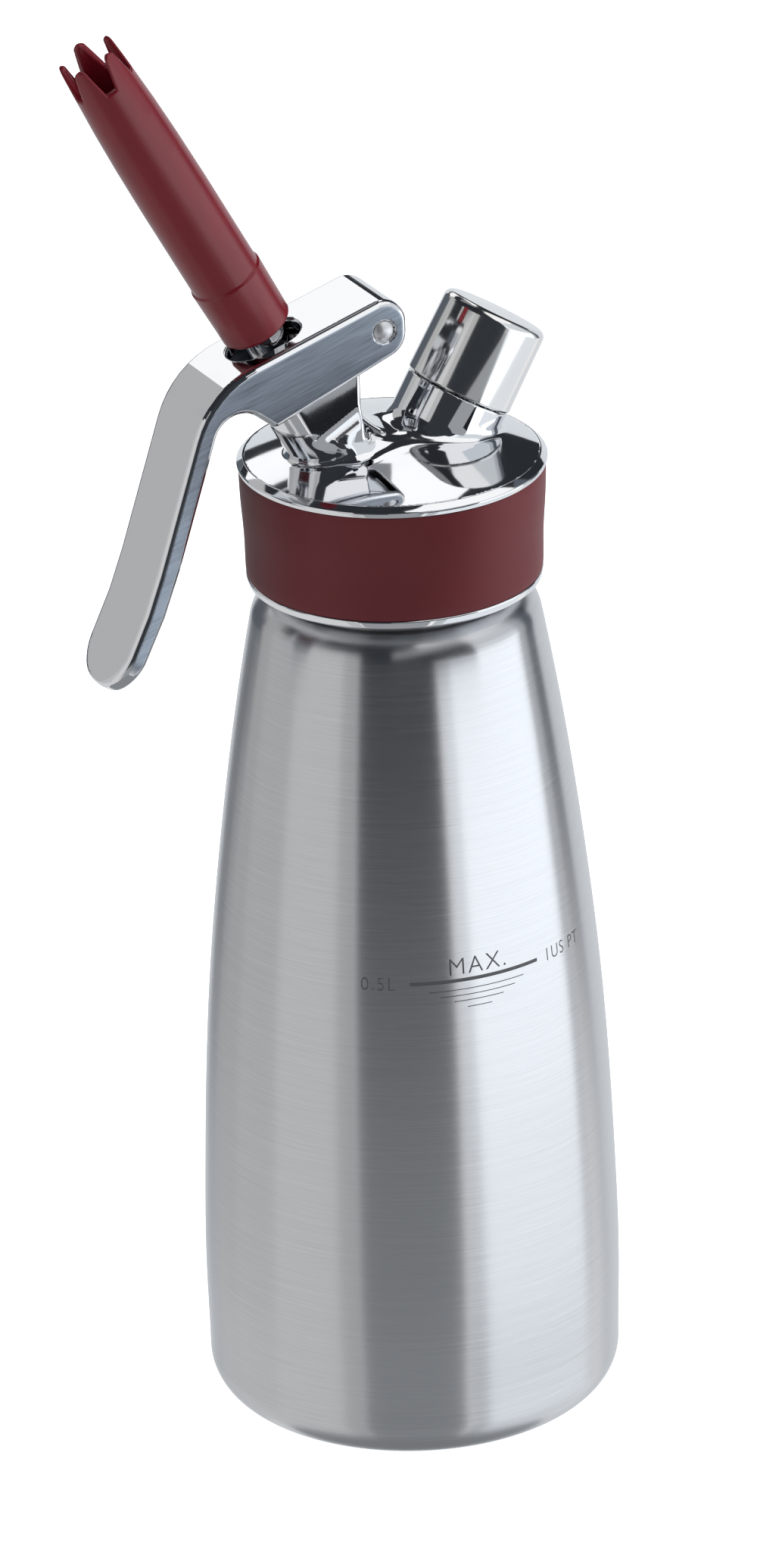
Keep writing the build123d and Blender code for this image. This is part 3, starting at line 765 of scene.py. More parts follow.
def cover(
    distance: Distance, low: np.ndarray, high: np.ndarray, cell: float
) -> tuple[np.ndarray, list]:
    """Surface net over a distance function.

    Args:
        distance: The distance function.
        low: Lowest corner.
        high: Highest corner.
        cell: Grid step.

    Returns:
        Corner places and quads.
    """
    count = np.ceil((high - low) / (BLOCK * cell)).astype(int)
    values = sample(distance, low, count, cell)
    inside = values < 0
    shape = np.array(values.shape) - 1
    filled = sum(window(inside, corner, shape).astype(np.int8) for corner in CUBE)
    cells = np.argwhere((filled > 0) & (filled < 8))
    total = np.zeros((len(cells), 3))
    hits = np.zeros(len(cells))
    for a in CUBE:
        for axis in range(3):
            if a[axis]:
                continue
            b = tuple(v + (n == axis) for n, v in enumerate(a))
            va = values[cells[:, 0] + a[0], cells[:, 1] + a[1], cells[:, 2] + a[2]]
            vb = values[cells[:, 0] + b[0], cells[:, 1] + b[1], cells[:, 2] + b[2]]
            crossed = (va < 0) != (vb < 0)
            share = np.where(crossed, va / np.where(va == vb, 1.0, va - vb), 0.0)
            place = np.array(a, float) + share[:, None] * np.eye(3)[axis]
            total += place * crossed[:, None]
            hits += crossed
    points = low + (cells + total / hits[:, None]) * cell
    number = np.full(tuple(shape), -1, int)
    number[cells[:, 0], cells[:, 1], cells[:, 2]] = np.arange(len(cells))
    faces: list[np.ndarray] = []
    for axis in range(3):
        u, v = (axis + 1) % 3, (axis + 2) % 3
        here = np.take(inside, range(shape[axis]), axis)
        there = np.take(inside, range(1, shape[axis] + 1), axis)
        edge = np.argwhere(here != there)
        low_side = (edge[:, u] > 0) & (edge[:, v] > 0)
        edge = edge[low_side & (edge[:, u] < shape[u]) & (edge[:, v] < shape[v])]
        quad = []
        for du, dv in ((1, 1), (0, 1), (0, 0), (1, 0)):
            at = edge.copy()
            at[:, u] -= du
            at[:, v] -= dv
            quad.append(number[at[:, 0], at[:, 1], at[:, 2]])
        loop = np.stack(quad, axis=1)
        outward = here[edge[:, 0], edge[:, 1], edge[:, 2]]
        loop[~outward] = loop[~outward][:, ::-1]
        faces.append(loop)
    return points, np.concatenate(faces).tolist()


def join(a: np.ndarray, b: np.ndarray, blend: float) -> np.ndarray:
    """Union of two solids with a fillet.

    Args:
        a: Distances to one solid.
        b: Distances to the other.
        blend: About the fillet's size.

    Returns:
        Distances to the union.
    """
    h = np.clip(0.5 + 0.5 * (b - a) / blend, 0, 1)
    return b * (1 - h) + a * h - blend * h * (1 - h)


def meet(a: np.ndarray, b: np.ndarray, radius: float) -> np.ndarray:
    """What two solids share, with its edges rounded.

    Args:
        a: Distances to one solid.
        b: Distances to the other.
        radius: The edges' radius.

    Returns:
        Distances to the shared solid.
    """
    over_a = np.maximum(a + radius, 0)
    over_b = np.maximum(b + radius, 0)
    return np.minimum(np.maximum(a, b), -radius) + np.hypot(over_a, over_b)


def outline_distance(x: np.ndarray, z: np.ndarray, outline: Sequence[Point2]) -> np.ndarray:
    """Distance in a plane to a closed outline.

    Args:
        x: Places along X.
        z: Places along Z.
        outline: The outline's corners.

    Returns:
        Signed distances.
    """
    nearest = np.full(x.shape, np.inf)
    inside = np.zeros(x.shape, bool)
    for (ax, az), (bx, bz) in zip(outline, [*outline[1:], outline[0]]):
        ex, ez = bx - ax, bz - az
        wx, wz = x - ax, z - az
        t = np.clip((wx * ex + wz * ez) / max(ex * ex + ez * ez, 1e-12), 0, 1)
        nearest = np.minimum(nearest, (wx - ex * t) ** 2 + (wz - ez * t) ** 2)
        crossed = (az > z) != (bz > z)
        if ez:
            inside ^= crossed & (x < ax + ex * (z - az) / ez)
    return np.where(inside, -1.0, 1.0) * np.sqrt(nearest)


# ---- bottle


@dataclass(frozen=True)
class Word:
    """Lettering of the fill scale: left and right in degrees, height and lift in millimetres."""

    text: str
    height: float
    left: float
    right: float
    lift: float


@dataclass
class Bottle:
    """Drawn steel bottle with its threaded neck and fill mark."""

    side: tuple[Point2, ...] = (
        (41.2, 7.9),
        (41.5, 24.0),
        (41.13, 45.75),
        (39.22, 84.2),
        (35.01, 124.7),
        (32.93, 139.9),
        (29.1, 163.0),
        (28.45, 166.45),
    )
    shoulder_slope: float = -0.2
    corner: float = 7.9
    shoulder_top: float = 171.8
    ledge: float = 0.6
    neck: float = 22.9
    neck_wall: float = 1.5
    neck_top: float = 192.8
    neck_foot: float = 0.25
    neck_edge: float = 0.3
    wall: float = 1.0
    dish: float = 30.0
    dish_depth: float = 1.2
    pitch: float = 3.5
    thread_start: float = 179.5
    thread_turns: float = 2.5
    thread_section: tuple[Point2, ...] = ((-0.2, -0.75), (1.0, -0.28), (1.0, 0.28), (-0.2, 0.75))
    thread_steps: int = 72
    thread_fade: int = 9
    mark_middle: float = -93.8
    mark_height: float = 103.2
    mark_lift: float = 0.015
    mark_thick: float = 0.02
    lines: tuple[tuple[float, float, float], ...] = (
        (0.0, 21.0, 0.7),
        (-1.9, 15.3, 0.16),
        (-3.1, 12.0, 0.16),
        (-4.25, 7.9, 0.16),
        (-5.6, 3.9, 0.16),
    )
    words: tuple[Word, ...] = (
        Word("MAX.", 3.3, -8.9, 9.3, 1.15),
        Word("0.5L", 2.6, -35.6, -25.2, -1.2),
        Word("1US PT", 2.6, 25.3, 41.7, -1.2),
    )

    def wall_line(self, inset: float) -> list[Point2]:
        """Side and shoulder of the bottle, upwards.

        Args:
            inset: How far the line lies inside the outer surface.

        Returns:
            (radius, height) points from the foot's corner to the neck.
        """
        side = smooth_curve(self.side, 0.0, self.shoulder_slope, 90)
        foot = side[0][0]
        made = [
            (
                foot - self.corner + (self.corner - inset) * math.sin(a),
                self.corner - (self.corner - inset) * math.cos(a),
            )
            for a in np.radians(np.linspace(0, 84, 15))
        ]
        made += [(r - inset, z) for r, z in side]
        top_r, top_z = side[-1]
        reach = self.shoulder_top - top_z
        lean = math.atan(-self.shoulder_slope)
        chord = math.hypot(top_r - self.neck - self.ledge, reach)
        half = math.atan2(top_r - self.neck - self.ledge, reach) - lean
        size = chord / (2 * math.sin(half))
        mid_r, mid_z = top_r - size * math.cos(lean), top_z - size * math.sin(lean)
        bend = size - inset
        for a in np.linspace(lean, lean + 2 * half, 14)[1:]:
            made.append((mid_r + bend * math.cos(a), mid_z + bend * math.sin(a)))
        return made

    def radius(self, height: float) -> float:
        """Outer radius at a height."""
        line = smooth_curve(self.side, 0.0, self.shoulder_slope, 400)
        return float(np.interp(height, [p[1] for p in line], [p[0] for p in line]))

    def build(self) -> None:
        """Makes the bottle, its thread and its fill mark."""
        outer = self.wall_line(0.0)
        inner = self.wall_line(self.wall)
        neck, top, edge = self.neck, self.neck_top, self.neck_edge
        neck_in = neck - self.neck_wall
        floor = self.dish_depth
        profile = [(0.0, floor), (self.dish - 1.2, floor), (self.dish, 0.0), *outer]
        profile += [(neck + self.neck_foot, self.shoulder_top)]
        profile += [(neck, self.shoulder_top + self.neck_foot), (neck, top - edge)]
        profile += [(neck - edge, top), (neck_in + edge, top), (neck_in, top - edge)]
        profile += [(neck_in, self.shoulder_top - self.wall), *reversed(inner)]
        profile += [(self.dish, floor + self.wall), (0.0, floor + self.wall)]
        shell = Piece("bottle_shell", Body.BOTTLE, BOTTLE_STEEL, "brushed_bottle", ("bottle",))
        shell.lathe(profile)
        self.thread()
        self.fill_mark()

    def thread(self) -> None:
        """Rolled ridge round the neck."""
        steps = int(self.thread_turns * self.thread_steps)
        points, faces = [], []
        for i in range(steps + 1):
            angle = 2 * math.pi * i / self.thread_steps
            fade = min(1.0, i / self.thread_fade, (steps - i) / self.thread_fade)
            height = self.thread_start + self.pitch * i / self.thread_steps
            for out, up in self.thread_section:
                r = self.neck + (out * fade if out > 0 else out)
                points.append((r * math.cos(angle), r * math.sin(angle), height + up))
        for i in range(steps):
            for k in range(4):
                a, b = 4 * i + k, 4 * i + (k + 1) % 4
                faces.append((a, a + 4, b + 4, b))
        faces += [(0, 1, 2, 3), tuple(4 * steps + k for k in (3, 2, 1, 0))]
        Piece("neck_thread", Body.BOTTLE, STEM_STEEL, "turned_steel").make(np.array(points), faces)

    def fill_mark(self) -> None:
        """Plain fill scale: a heavy line, thin ones under it and its capacity."""
        flat: list[np.ndarray] = []
        faces: list[list[int]] = []
        steps = 40
        for drop, half, thick in self.lines:
            base = sum(len(f) for f in flat)
            turn = np.linspace(-half, half, steps + 1)
            for up in (drop - thick / 2, drop + thick / 2):
                flat.append(np.stack([turn, np.full(steps + 1, up)], axis=1))
            faces += [[i, i + 1, i + steps + 2, i + steps + 1] for i in range(base, base + steps)]
        for word in self.words:
            corners, loops = letters(word.text)
            base = sum(len(f) for f in flat)
            low, high = corners.min(0), corners.max(0)
            share = (corners - low) / (high - low)
            across = word.left + share[:, 0] * (word.right - word.left)
            flat.append(np.stack([across, word.lift + share[:, 1] * word.height], axis=1))
            faces += [[base + v for v in loop] for loop in loops]
        marks = np.concatenate(flat)
        turn = np.radians(self.mark_middle + marks[:, 0])
        height = self.mark_height + marks[:, 1]
        radius = np.array([self.radius(h) for h in height]) + self.mark_lift
        points = np.stack([radius * np.cos(turn), radius * np.sin(turn), height], axis=1)
        obj = Piece("fill_mark", Body.BOTTLE, MARK_INK, "brushed_bottle").make(points, faces, 0.0)
        thicken = obj.modifiers.new("thickness", "SOLIDIFY")
        thicken.thickness = self.mark_thick * MM
        thicken.offset = -1.0


def letters(text: str) -> tuple[np.ndarray, list[list[int]]]:
    """Flat mesh of plain lettering.

    Args:
        text: The letters.

    Returns:
        Corners in the plane and faces.
    """
    curve = bpy.data.curves.new("letters", "FONT")
    curve.body = text
    curve.size = 1.0
    curve.space_character = 1.15
    curve.offset = -0.012
    curve.resolution_u = 6
    holder = bpy.data.objects.new("letters", curve)
    mesh = bpy.data.meshes.new_from_object(holder)
    corners = np.array([v.co[:2] for v in mesh.vertices])
    loops = [list(p.vertices) for p in mesh.polygons]
    bpy.data.objects.remove(holder)
    bpy.data.meshes.remove(mesh)
    bpy.data.curves.remove(curve)
    return corners, loops


# ---- head


@dataclass
class Head:
    """Polished casting: domed disc, two leaning necks, saddle, lug and skirt."""

    dome_sphere: float = 90.0
    dome_top: float = 204.2
    dome_edge: float = 28.7
    rim: float = 30.2
    rim_z: float = 198.4
    rim_bottom: float = 197.4
    skirt: float = 26.4
    lip: float = 28.9
    lip_top: float = 175.7
    lip_bottom: float = 173.9
    bore: float = 24.2
    ceiling: float = 194.8
    valve_neck: float = 8.2
    valve_top: float = 24.0
    flat_start: float = 12.5
    flat_run: float = 5.0
    lug_half: float = 6.9
    foot_blend: float = 1.7
    lug_blend: float = 1.2
    lug_edge: float = 0.9
    saddle_top: float = 205.5
    saddle_half: float = 6.5
    saddle_slope: Point2 = (0.68, 0.73)
    saddle_middle: float = 0.5
    saddle_reach: float = 13.0
    saddle_edge: float = 0.9
    saddle_end: float = 1.0
    saddle_blend: float = 3.0
    neck_blend: float = 4.5
    charger_neck: float = 10.5
    charger_top: float = 11.9
    spigot: float = 8.9
    spigot_top: float = 25.0
    lug: tuple[Point2, ...] = (
        (-14.0, 202.0),
        (-9.4, 202.0),
        (-9.4, 219.5),
        (-3.03, 225.4),
        (-5.3, 228.0),
        (-6.33, 231.24),
        (-21.5, 219.5),
    )
    pin: Point2 = (-5.3, 228.0)
    pin_boss: float = 3.4
    pin_hole: float = 1.9
    root: float = -3.0
    valve_boss: Rod = Rod(7.6, -6.0, 4.0)
    charger_boss: Rod = Rod(6.8, -7.0, 2.0)
    valve_bores: tuple[Rod, ...] = (
        Rod(3.06),
        Rod(5.4, 13.0),
        Rod(7.2, 24.0),
        Rod(5.6, high=8.0),
        Rod(7.1, high=-6.0),
    )
    charger_bores: tuple[Rod, ...] = (Rod(1.4), Rod(6.2, 8.0), Rod(4.6, high=-0.5))

    def neck(self, r: np.ndarray, s: np.ndarray, size: Point2, edge: float) -> np.ndarray:
        """Distance to a neck of a radius and height whose top edge is rounded."""
        return meet(Rod(size[0], self.root).distance(r, s), s - size[1], edge)

    def distance(self, p: np.ndarray) -> np.ndarray:
        """Distance to the casting's surface.

        Args:
            p: Points in millimetres.

        Returns:
            Signed distances.
        """
        x, y, z = p[:, 0], p[:, 1], p[:, 2]
        ball = np.sqrt(x**2 + y**2 + (z - self.dome_top + self.dome_sphere) ** 2) - self.dome_sphere
        radial = np.hypot(x, y)
        disc = np.maximum(np.maximum(ball, radial - self.dome_edge), self.ceiling - z)
        u, v, s = VALVE.local(p)
        r = np.hypot(u, v)
        neck = self.neck(r, s, (self.valve_neck, self.valve_top), 0.6)
        fade = np.clip((self.flat_start - s) / self.flat_run, 0, 1)
        spread = (self.valve_neck - self.lug_half) * fade**2 * (3 - 2 * fade)
        side = np.abs(y) - self.lug_half - spread
        pin_reach = np.hypot(x - self.pin[0], z - self.pin[1])
        plate = np.minimum(outline_distance(x, z, self.lug), pin_reach - self.pin_boss)
        neck = meet(join(neck, plate, self.lug_blend), side, self.lug_edge)
        uc, vc, sc = CHARGER.local(p)
        rc = np.hypot(uc, vc)
        charger = self.neck(rc, sc, (self.charger_neck, self.charger_top), 0.25)
        spigot = self.neck(rc, sc, (self.spigot, self.spigot_top), 0.4)
        out, up = self.saddle_slope
        flank = (np.abs(y) - self.saddle_half) * out + (z - self.saddle_top) * up
        ends = np.abs(x - self.saddle_middle) - self.saddle_reach
        saddle = meet(meet(z - self.saddle_top, flank, self.saddle_edge), ends, self.saddle_end)
        top = join(np.minimum(charger, spigot), saddle, self.saddle_blend)
        top = join(top, neck, self.neck_blend)
        body = join(disc, np.maximum(top, self.ceiling - z), self.foot_blend)
        bosses = np.minimum(self.valve_boss.distance(r, s), self.charger_boss.distance(rc, sc))
        body = np.minimum(body, bosses)
        holes = [bore.distance(r, s) for bore in self.valve_bores]
        holes += [bore.distance(rc, sc) for bore in self.charger_bores]
        for hole in (*holes, pin_reach - self.pin_hole):
            body = np.maximum(body, -hole)
        return body

    def build(self) -> None:
        """Makes the casting and the skirt under its disc."""
        Piece("head_casting", Body.HEAD, HEAD_STEEL, "polished_head", ("head_body",)).skin(
            self.distance, (-30.0, -30.0, 190.0), (31.0, 30.0, 233.0), 0.4
        )
        rise = math.sqrt(self.dome_sphere**2 - self.dome_edge**2)
        edge_z = self.dome_top - self.dome_sphere + rise
        foot_r = self.rim - 0.3
        lip = [
            (self.bore + 0.5, self.lip_bottom, 0.0),
            (self.lip - 0.2, self.lip_bottom, 0.7),
            (self.lip + 0.1, self.lip_top, 0.3),
            (self.skirt, self.lip_top, 0.0),
        ]
        rim = [
            (foot_r - 0.4, self.rim_bottom, 0.0),
            (foot_r, self.rim_bottom, 0.2),
            (self.rim + 0.05, self.rim_z + 0.1, 0.45),
            (self.dome_edge + 0.25, edge_z + 0.02, 0.12),
            (self.dome_edge - 0.4, edge_z - 0.05, 0.0),
        ]
        profile = [(self.bore, self.lip_bottom), *rounded(lip, 15), (self.skirt, self.rim_bottom)]
        profile += [*rounded(rim, 8), (self.dome_edge - 2.0, edge_z - 1.0)]
        profile += [(self.bore, self.ceiling + 0.5)]
        Piece("head_skirt", Body.HEAD, HEAD_STEEL, "polished_head").lathe(profile)


@dataclass
class GripRing:
    """Soft ring round the head's skirt."""

    side: tuple[Point2, ...] = (
        (28.95, 175.75),
        (29.0, 177.6),
        (29.1, 183.0),
        (29.6, 190.7),
        (29.82, 197.35),
    )
    bore: float = 26.4
    edge: float = 0.35

    def build(self) -> None:
        """Makes the ring."""
        line = smooth_curve(self.side, 0.02, 0.02, 40)
        (low_r, low_z), (high_r, high_z) = line[0], line[-1]
        profile = [(self.bore, low_z), (low_r - self.edge, low_z), (low_r - 0.1, low_z + 0.08)]
        profile += [*line[2:-2], (high_r - 0.1, high_z - 0.08)]
        profile += [(high_r - self.edge, high_z), (self.bore, high_z)]
        skin = Piece("grip_ring_skin", Body.HEAD, RING_SILICONE, "red_silicone", ("grip_ring",))
        skin.lathe(profile)


@dataclass
class ChargerCap:
    """Short polished cap on the charger neck."""

    foot: float = 10.8
    top: float = 10.6
    bottom_s: float = 12.2
    top_s: float = 29.6
    edge: float = 1.6
    bore: float = 9.1
    ceiling_s: float = 27.6

    def build(self) -> None:
        """Makes the cap with its rounded, slightly domed top."""
        corners = [
            (self.foot - 0.3, self.bottom_s, 0.0),
            (self.foot, self.bottom_s + 0.3, 0.3),
            (self.top, self.top_s - 0.25, self.edge),
            (0.0, self.top_s + 0.05, 0.0),
        ]
        outside = rounded(corners, 5)[:-1]
        profile = [(self.bore, self.bottom_s), *outside, (0.0, self.top_s)]
        profile += [(0.0, self.ceiling_s), (self.bore, self.ceiling_s)]
        Piece("charger_cap_shell", Body.CAP, CAP_STEEL, "polished_cap", ("charger_cap",)).lathe(
            profile, CHARGER, steps=192
        )


# ---- lever


@dataclass
class Lever:
    """Squeeze lever with cheeks, a slot for the stem and a flared grip."""

    pin: Point2 = (-5.3, 228.0)
    width: float = 18.2
    cheek: float = 1.9
    top_rise: float = 6.1
    web: float = 2.4
    slope: float = 17.5
    cavity_front: float = 28.9
    cavity_rear: float = 3.75
    slot_reach: float = 20.5
    slot_length: float = 15.2
    slot_width: float = 10.0
    dimple: float = 2.3
    dimple_depth: float = 0.4
    shaft: float = 1.9
    pin_head: float = 2.1
    pin_dome: float = 0.6
    head_gap: float = 0.05
    pin_hole: float = 1.96
    edge: float = 1.4
    slot_edge: float = 0.7
    dimple_edge: float = 0.25
    cavity_edge: float = 0.3
    tail_lean: float = 33.1
    corners: tuple[Corner, ...] = (
        (-0.3, 236.0, 5.0),
        (-42.4, 222.7, 20.0),
        (-58.3, 175.5, 100.0),
        (-65.4, 164.6, 1.8),
        (-62.0, 162.4, 1.8),
        (-54.2, 173.6, 105.0),
        (-38.5, 220.6, 5.5),
        (-28.6, 212.6, 1.5),
        (-0.3, 223.8, 5.0),
    )
    outline: list[Point2] = field(default_factory=list)

    def __post_init__(self) -> None:
        """Rounds the side view's corners."""
        self.outline = rounded(self.corners, 7.0)

    def distance(self, p: np.ndarray) -> np.ndarray:
        """Distance to the lever's surface.

        Args:
            p: Points in millimetres.

        Returns:
            Signed distances.
        """
        x, y, z = p[:, 0], np.abs(p[:, 1]), p[:, 2]
        half = self.width / 2
        side = outline_distance(x, z, self.outline)
        lean = math.radians(self.tail_lean)
        end_x = self.corners[3][0] + math.sin(lean) * half
        end_z = self.corners[3][1] + math.cos(lean) * half
        beyond = -(x - end_x) * math.sin(lean) - (z - end_z) * math.cos(lean)
        plan = np.where(beyond > 0, np.hypot(np.maximum(beyond, 0), y), y) - half
        body = meet(side, plan, self.edge)
        px, pz = x - self.pin[0], z - self.pin[1]
        slope = math.radians(self.slope)
        height = px * -math.sin(slope) + pz * math.cos(slope)
        along = -(px * math.cos(slope) + pz * math.sin(slope))
        round_rear = np.where(pz > 0, np.hypot(px, pz), px) - self.cavity_rear
        cavity = np.maximum(height - (self.top_rise - self.web), -self.cavity_front - px)
        cavity = np.maximum(np.maximum(cavity, round_rear), y - (half - self.cheek))
        straight = (self.slot_length - self.slot_width) / 2
        beyond = np.maximum(np.abs(along - self.slot_reach) - straight, 0)
        slot = np.maximum(np.hypot(beyond, y) - self.slot_width / 2, -height)
        pin_reach = np.hypot(px, pz)
        dimple = np.maximum(pin_reach - self.dimple, (half - self.dimple_depth) - y)
        body = meet(body, -slot, self.slot_edge)
        body = meet(body, -dimple, self.dimple_edge)
        body = np.maximum(body, -(pin_reach - self.pin_hole))
        return meet(body, -cavity, self.cavity_edge)

    def build(self) -> None:
        """Makes the lever and its pin."""
        Piece("lever_bar", Body.LEVER, LEVER_STEEL, "polished_lever", ("lever",)).skin(
            self.distance, (-68.0, -10.5, 159.0), (1.5, 10.5, 237.0), 0.4
        )
        seat = self.width / 2 - self.dimple_depth + self.head_gap
        top = self.width / 2 + self.pin_dome
        ball = (self.pin_head**2 + (top - seat) ** 2) / (2 * (top - seat))
        dome = [
            (ball * math.sin(a), top - ball + ball * math.cos(a))
            for a in np.linspace(math.asin(self.pin_head / ball), 0, 10)
        ]
        upper = [(self.shaft, seat), *dome]
        profile = [(r, -h) for r, h in reversed(upper)] + upper
        piece = Piece("lever_pin_body", Body.HEAD, PIN_STEEL, "pin_steel", ("lever_pin",))
        obj = piece.lathe(profile, steps=64)
        place = Matrix.Translation((self.pin[0] * MM, 0, self.pin[1] * MM))
        obj.data.transform(place @ Matrix.Rotation(math.pi / 2, 4, "X"))


# ---- valve stem and tip


@dataclass
class Stem:
    """Hollow stem with the collar that the lever pushes."""

    radius: float = 3.0
    collar: float = 6.8
    collar_low: float = 27.4
    collar_high: float = 28.8
    nose: float = 4.2
    nose_top: float = 46.0
    bore: float = 1.7
    bore_bottom: float = -4.0
    foot: float = 2.4
    foot_bottom: float = -11.05
    foot_top: float = -7.25

    def build(self) -> None:
        """Makes the stem."""
        profile = [
            (0.0, self.foot_bottom),
            (self.foot, self.foot_bottom),
            (self.foot, self.foot_top),
            (self.radius, self.foot_top),
            (self.radius, self.collar_low),
            (self.collar - 0.3, self.collar_low),
            (self.collar, self.collar_low + 0.3),
            (self.collar, self.collar_high - 0.5),
            (self.collar - 0.5, self.collar_high),
            (self.nose, self.collar_high),
            (self.nose, self.nose_top - 0.6),
            (self.nose - 0.6, self.nose_top),
            (self.bore, self.nose_top),
            (self.bore, self.bore_bottom),
            (0.0, self.bore_bottom),
        ]
        # darker polished steel: its colour is painted shade of the slot
        Piece("valve_stem_body", Body.STEM, STEM_POLISH_PAINTED_SHADE, "turned_steel", ("valve_stem",)).lathe(
            profile, VALVE, steps=96
        )


@dataclass
class Tip:
    """Moulded decorating tip with a stepped foot and five teeth."""

    bottom: float = 36.2
    step: float = 49.5
    notch: float = 98.5
    top: float = 105.2
    foot_radius: float = 7.1
    step_radius: float = 7.35
    bore: float = 4.6
    insert: float = 5.6
    insert_top: float = 47.0
    body: tuple[Point2, ...] = (
        (7.0, 48.0),
        (7.0, 70.0),
        (6.87, 81.0),
        (6.6, 90.0),
        (6.15, 98.5),
        (5.75, 105.2),
    )
    teeth: int = 5
    first_tooth: float = 63.4
    gap: float = 0.95
    gap_slope: float = 0.205
    gap_lean: float = 0.97
    gap_edge: float = 0.45
    tooth_edge: float = 1.0
    foot_edge: float = 0.9
    step_edge: float = 0.25
    step_blend: float = 0.4
    mouth_edge: float = 0.3

    def distance(self, p: np.ndarray) -> np.ndarray:
        """Distance to the tip's surface.

        Args:
            p: Points in millimetres.

        Returns:
            Signed distances.
        """
        u, v, s = VALVE.local(p)
        r = np.hypot(u, v)
        line_r, line_s = zip(*self.body)
        outer = r - np.interp(s, line_s, line_r)
        outer = np.maximum(outer, self.step - 2.0 - s)
        widen = self.step_radius - self.foot_radius
        foot_r = self.foot_radius + (s - self.bottom) * widen / (self.step - self.bottom)
        foot = meet(r - foot_r, self.bottom - s, self.foot_edge)
        foot = meet(foot, s - self.step, self.step_edge)
        turn = np.degrees(np.arctan2(v, u))
        pitch = 360 / self.teeth
        middle = 90 + self.first_tooth + pitch / 2
        off = np.radians((turn - middle + pitch / 2) % pitch - pitch / 2)
        across = np.abs(r * np.sin(off))
        shell = join(outer, foot, self.step_blend)
        hollow = r - np.interp(s, [self.insert_top, self.top], [self.bore, self.bore - 0.05])
        hollow = np.minimum(hollow, np.maximum(r - self.insert, s - self.insert_top))
        wedge = np.maximum(across - (self.gap + (s - self.notch) * self.gap_slope), self.notch - s)
        tooth = meet(-wedge * self.gap_lean, s - self.top, self.tooth_edge)
        return meet(meet(shell, -hollow, self.mouth_edge), tooth, self.gap_edge)

    def build(self) -> None:
        """Makes the tip."""
        Piece("decorator_tip_body", Body.TIP, TIP_PLASTIC, "red_plastic", ("decorator_tip",)).skin(
            self.distance, (-68.0, -8.5, 224.0), (-19.0, 8.5, 296.0), 0.3
        )


# ---- inner parts


def dress_inner_parts() -> None:
    """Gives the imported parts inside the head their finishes."""
    finishes = {
        SEAL_RUBBER: (
            "head_gasket",
            "stem_seal",
            "poppet_seal",
            "charger_seal",
            "check_disc",
            "cap_seal",
        ),
        STEM_STEEL: ("valve_bush", "poppet_nut", "tip_insert"),
        SPRING_WIRE: ("valve_spring", "check_spring"),
        BRASS: ("piercing_pin", "check_plug"),
    }
    for finish, nodes in finishes.items():
        for node in nodes:
            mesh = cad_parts[node].data
            mesh.materials.clear()
            mesh.materials.append(finish.material())
            LOG.info("%s: %s", node, finish.name)


# ---- studio


class Tint(Enum):
    """Colours of the studio's panels."""

    PLAIN = (1.0, 1.0, 1.0)
    COOL = (0.92, 0.96, 1.0)
    NIGHT = (0.75, 0.85, 1.0)


@dataclass(frozen=True)
class Panel:
    """Glowing or dark panel; bearings run to the right from straight behind the object."""

    name: str
    left: float
    right: float
    low: float
    high: float
    reach: float
    brightness: float
    tint: Tint = Tint.PLAIN


@dataclass(frozen=True)
class Card:
    """Upright card close in front of the head, with its corners as (x, z) in millimetres."""

    name: str
    corners: tuple[Point2, ...]
    brightness: float
    tint: Tint = Tint.PLAIN


@dataclass(frozen=True)
class Lamp:
    """Soft square lamp, with its place in metres and its power in watts."""

    name: str
    place: tuple[float, float, float]
    power: float


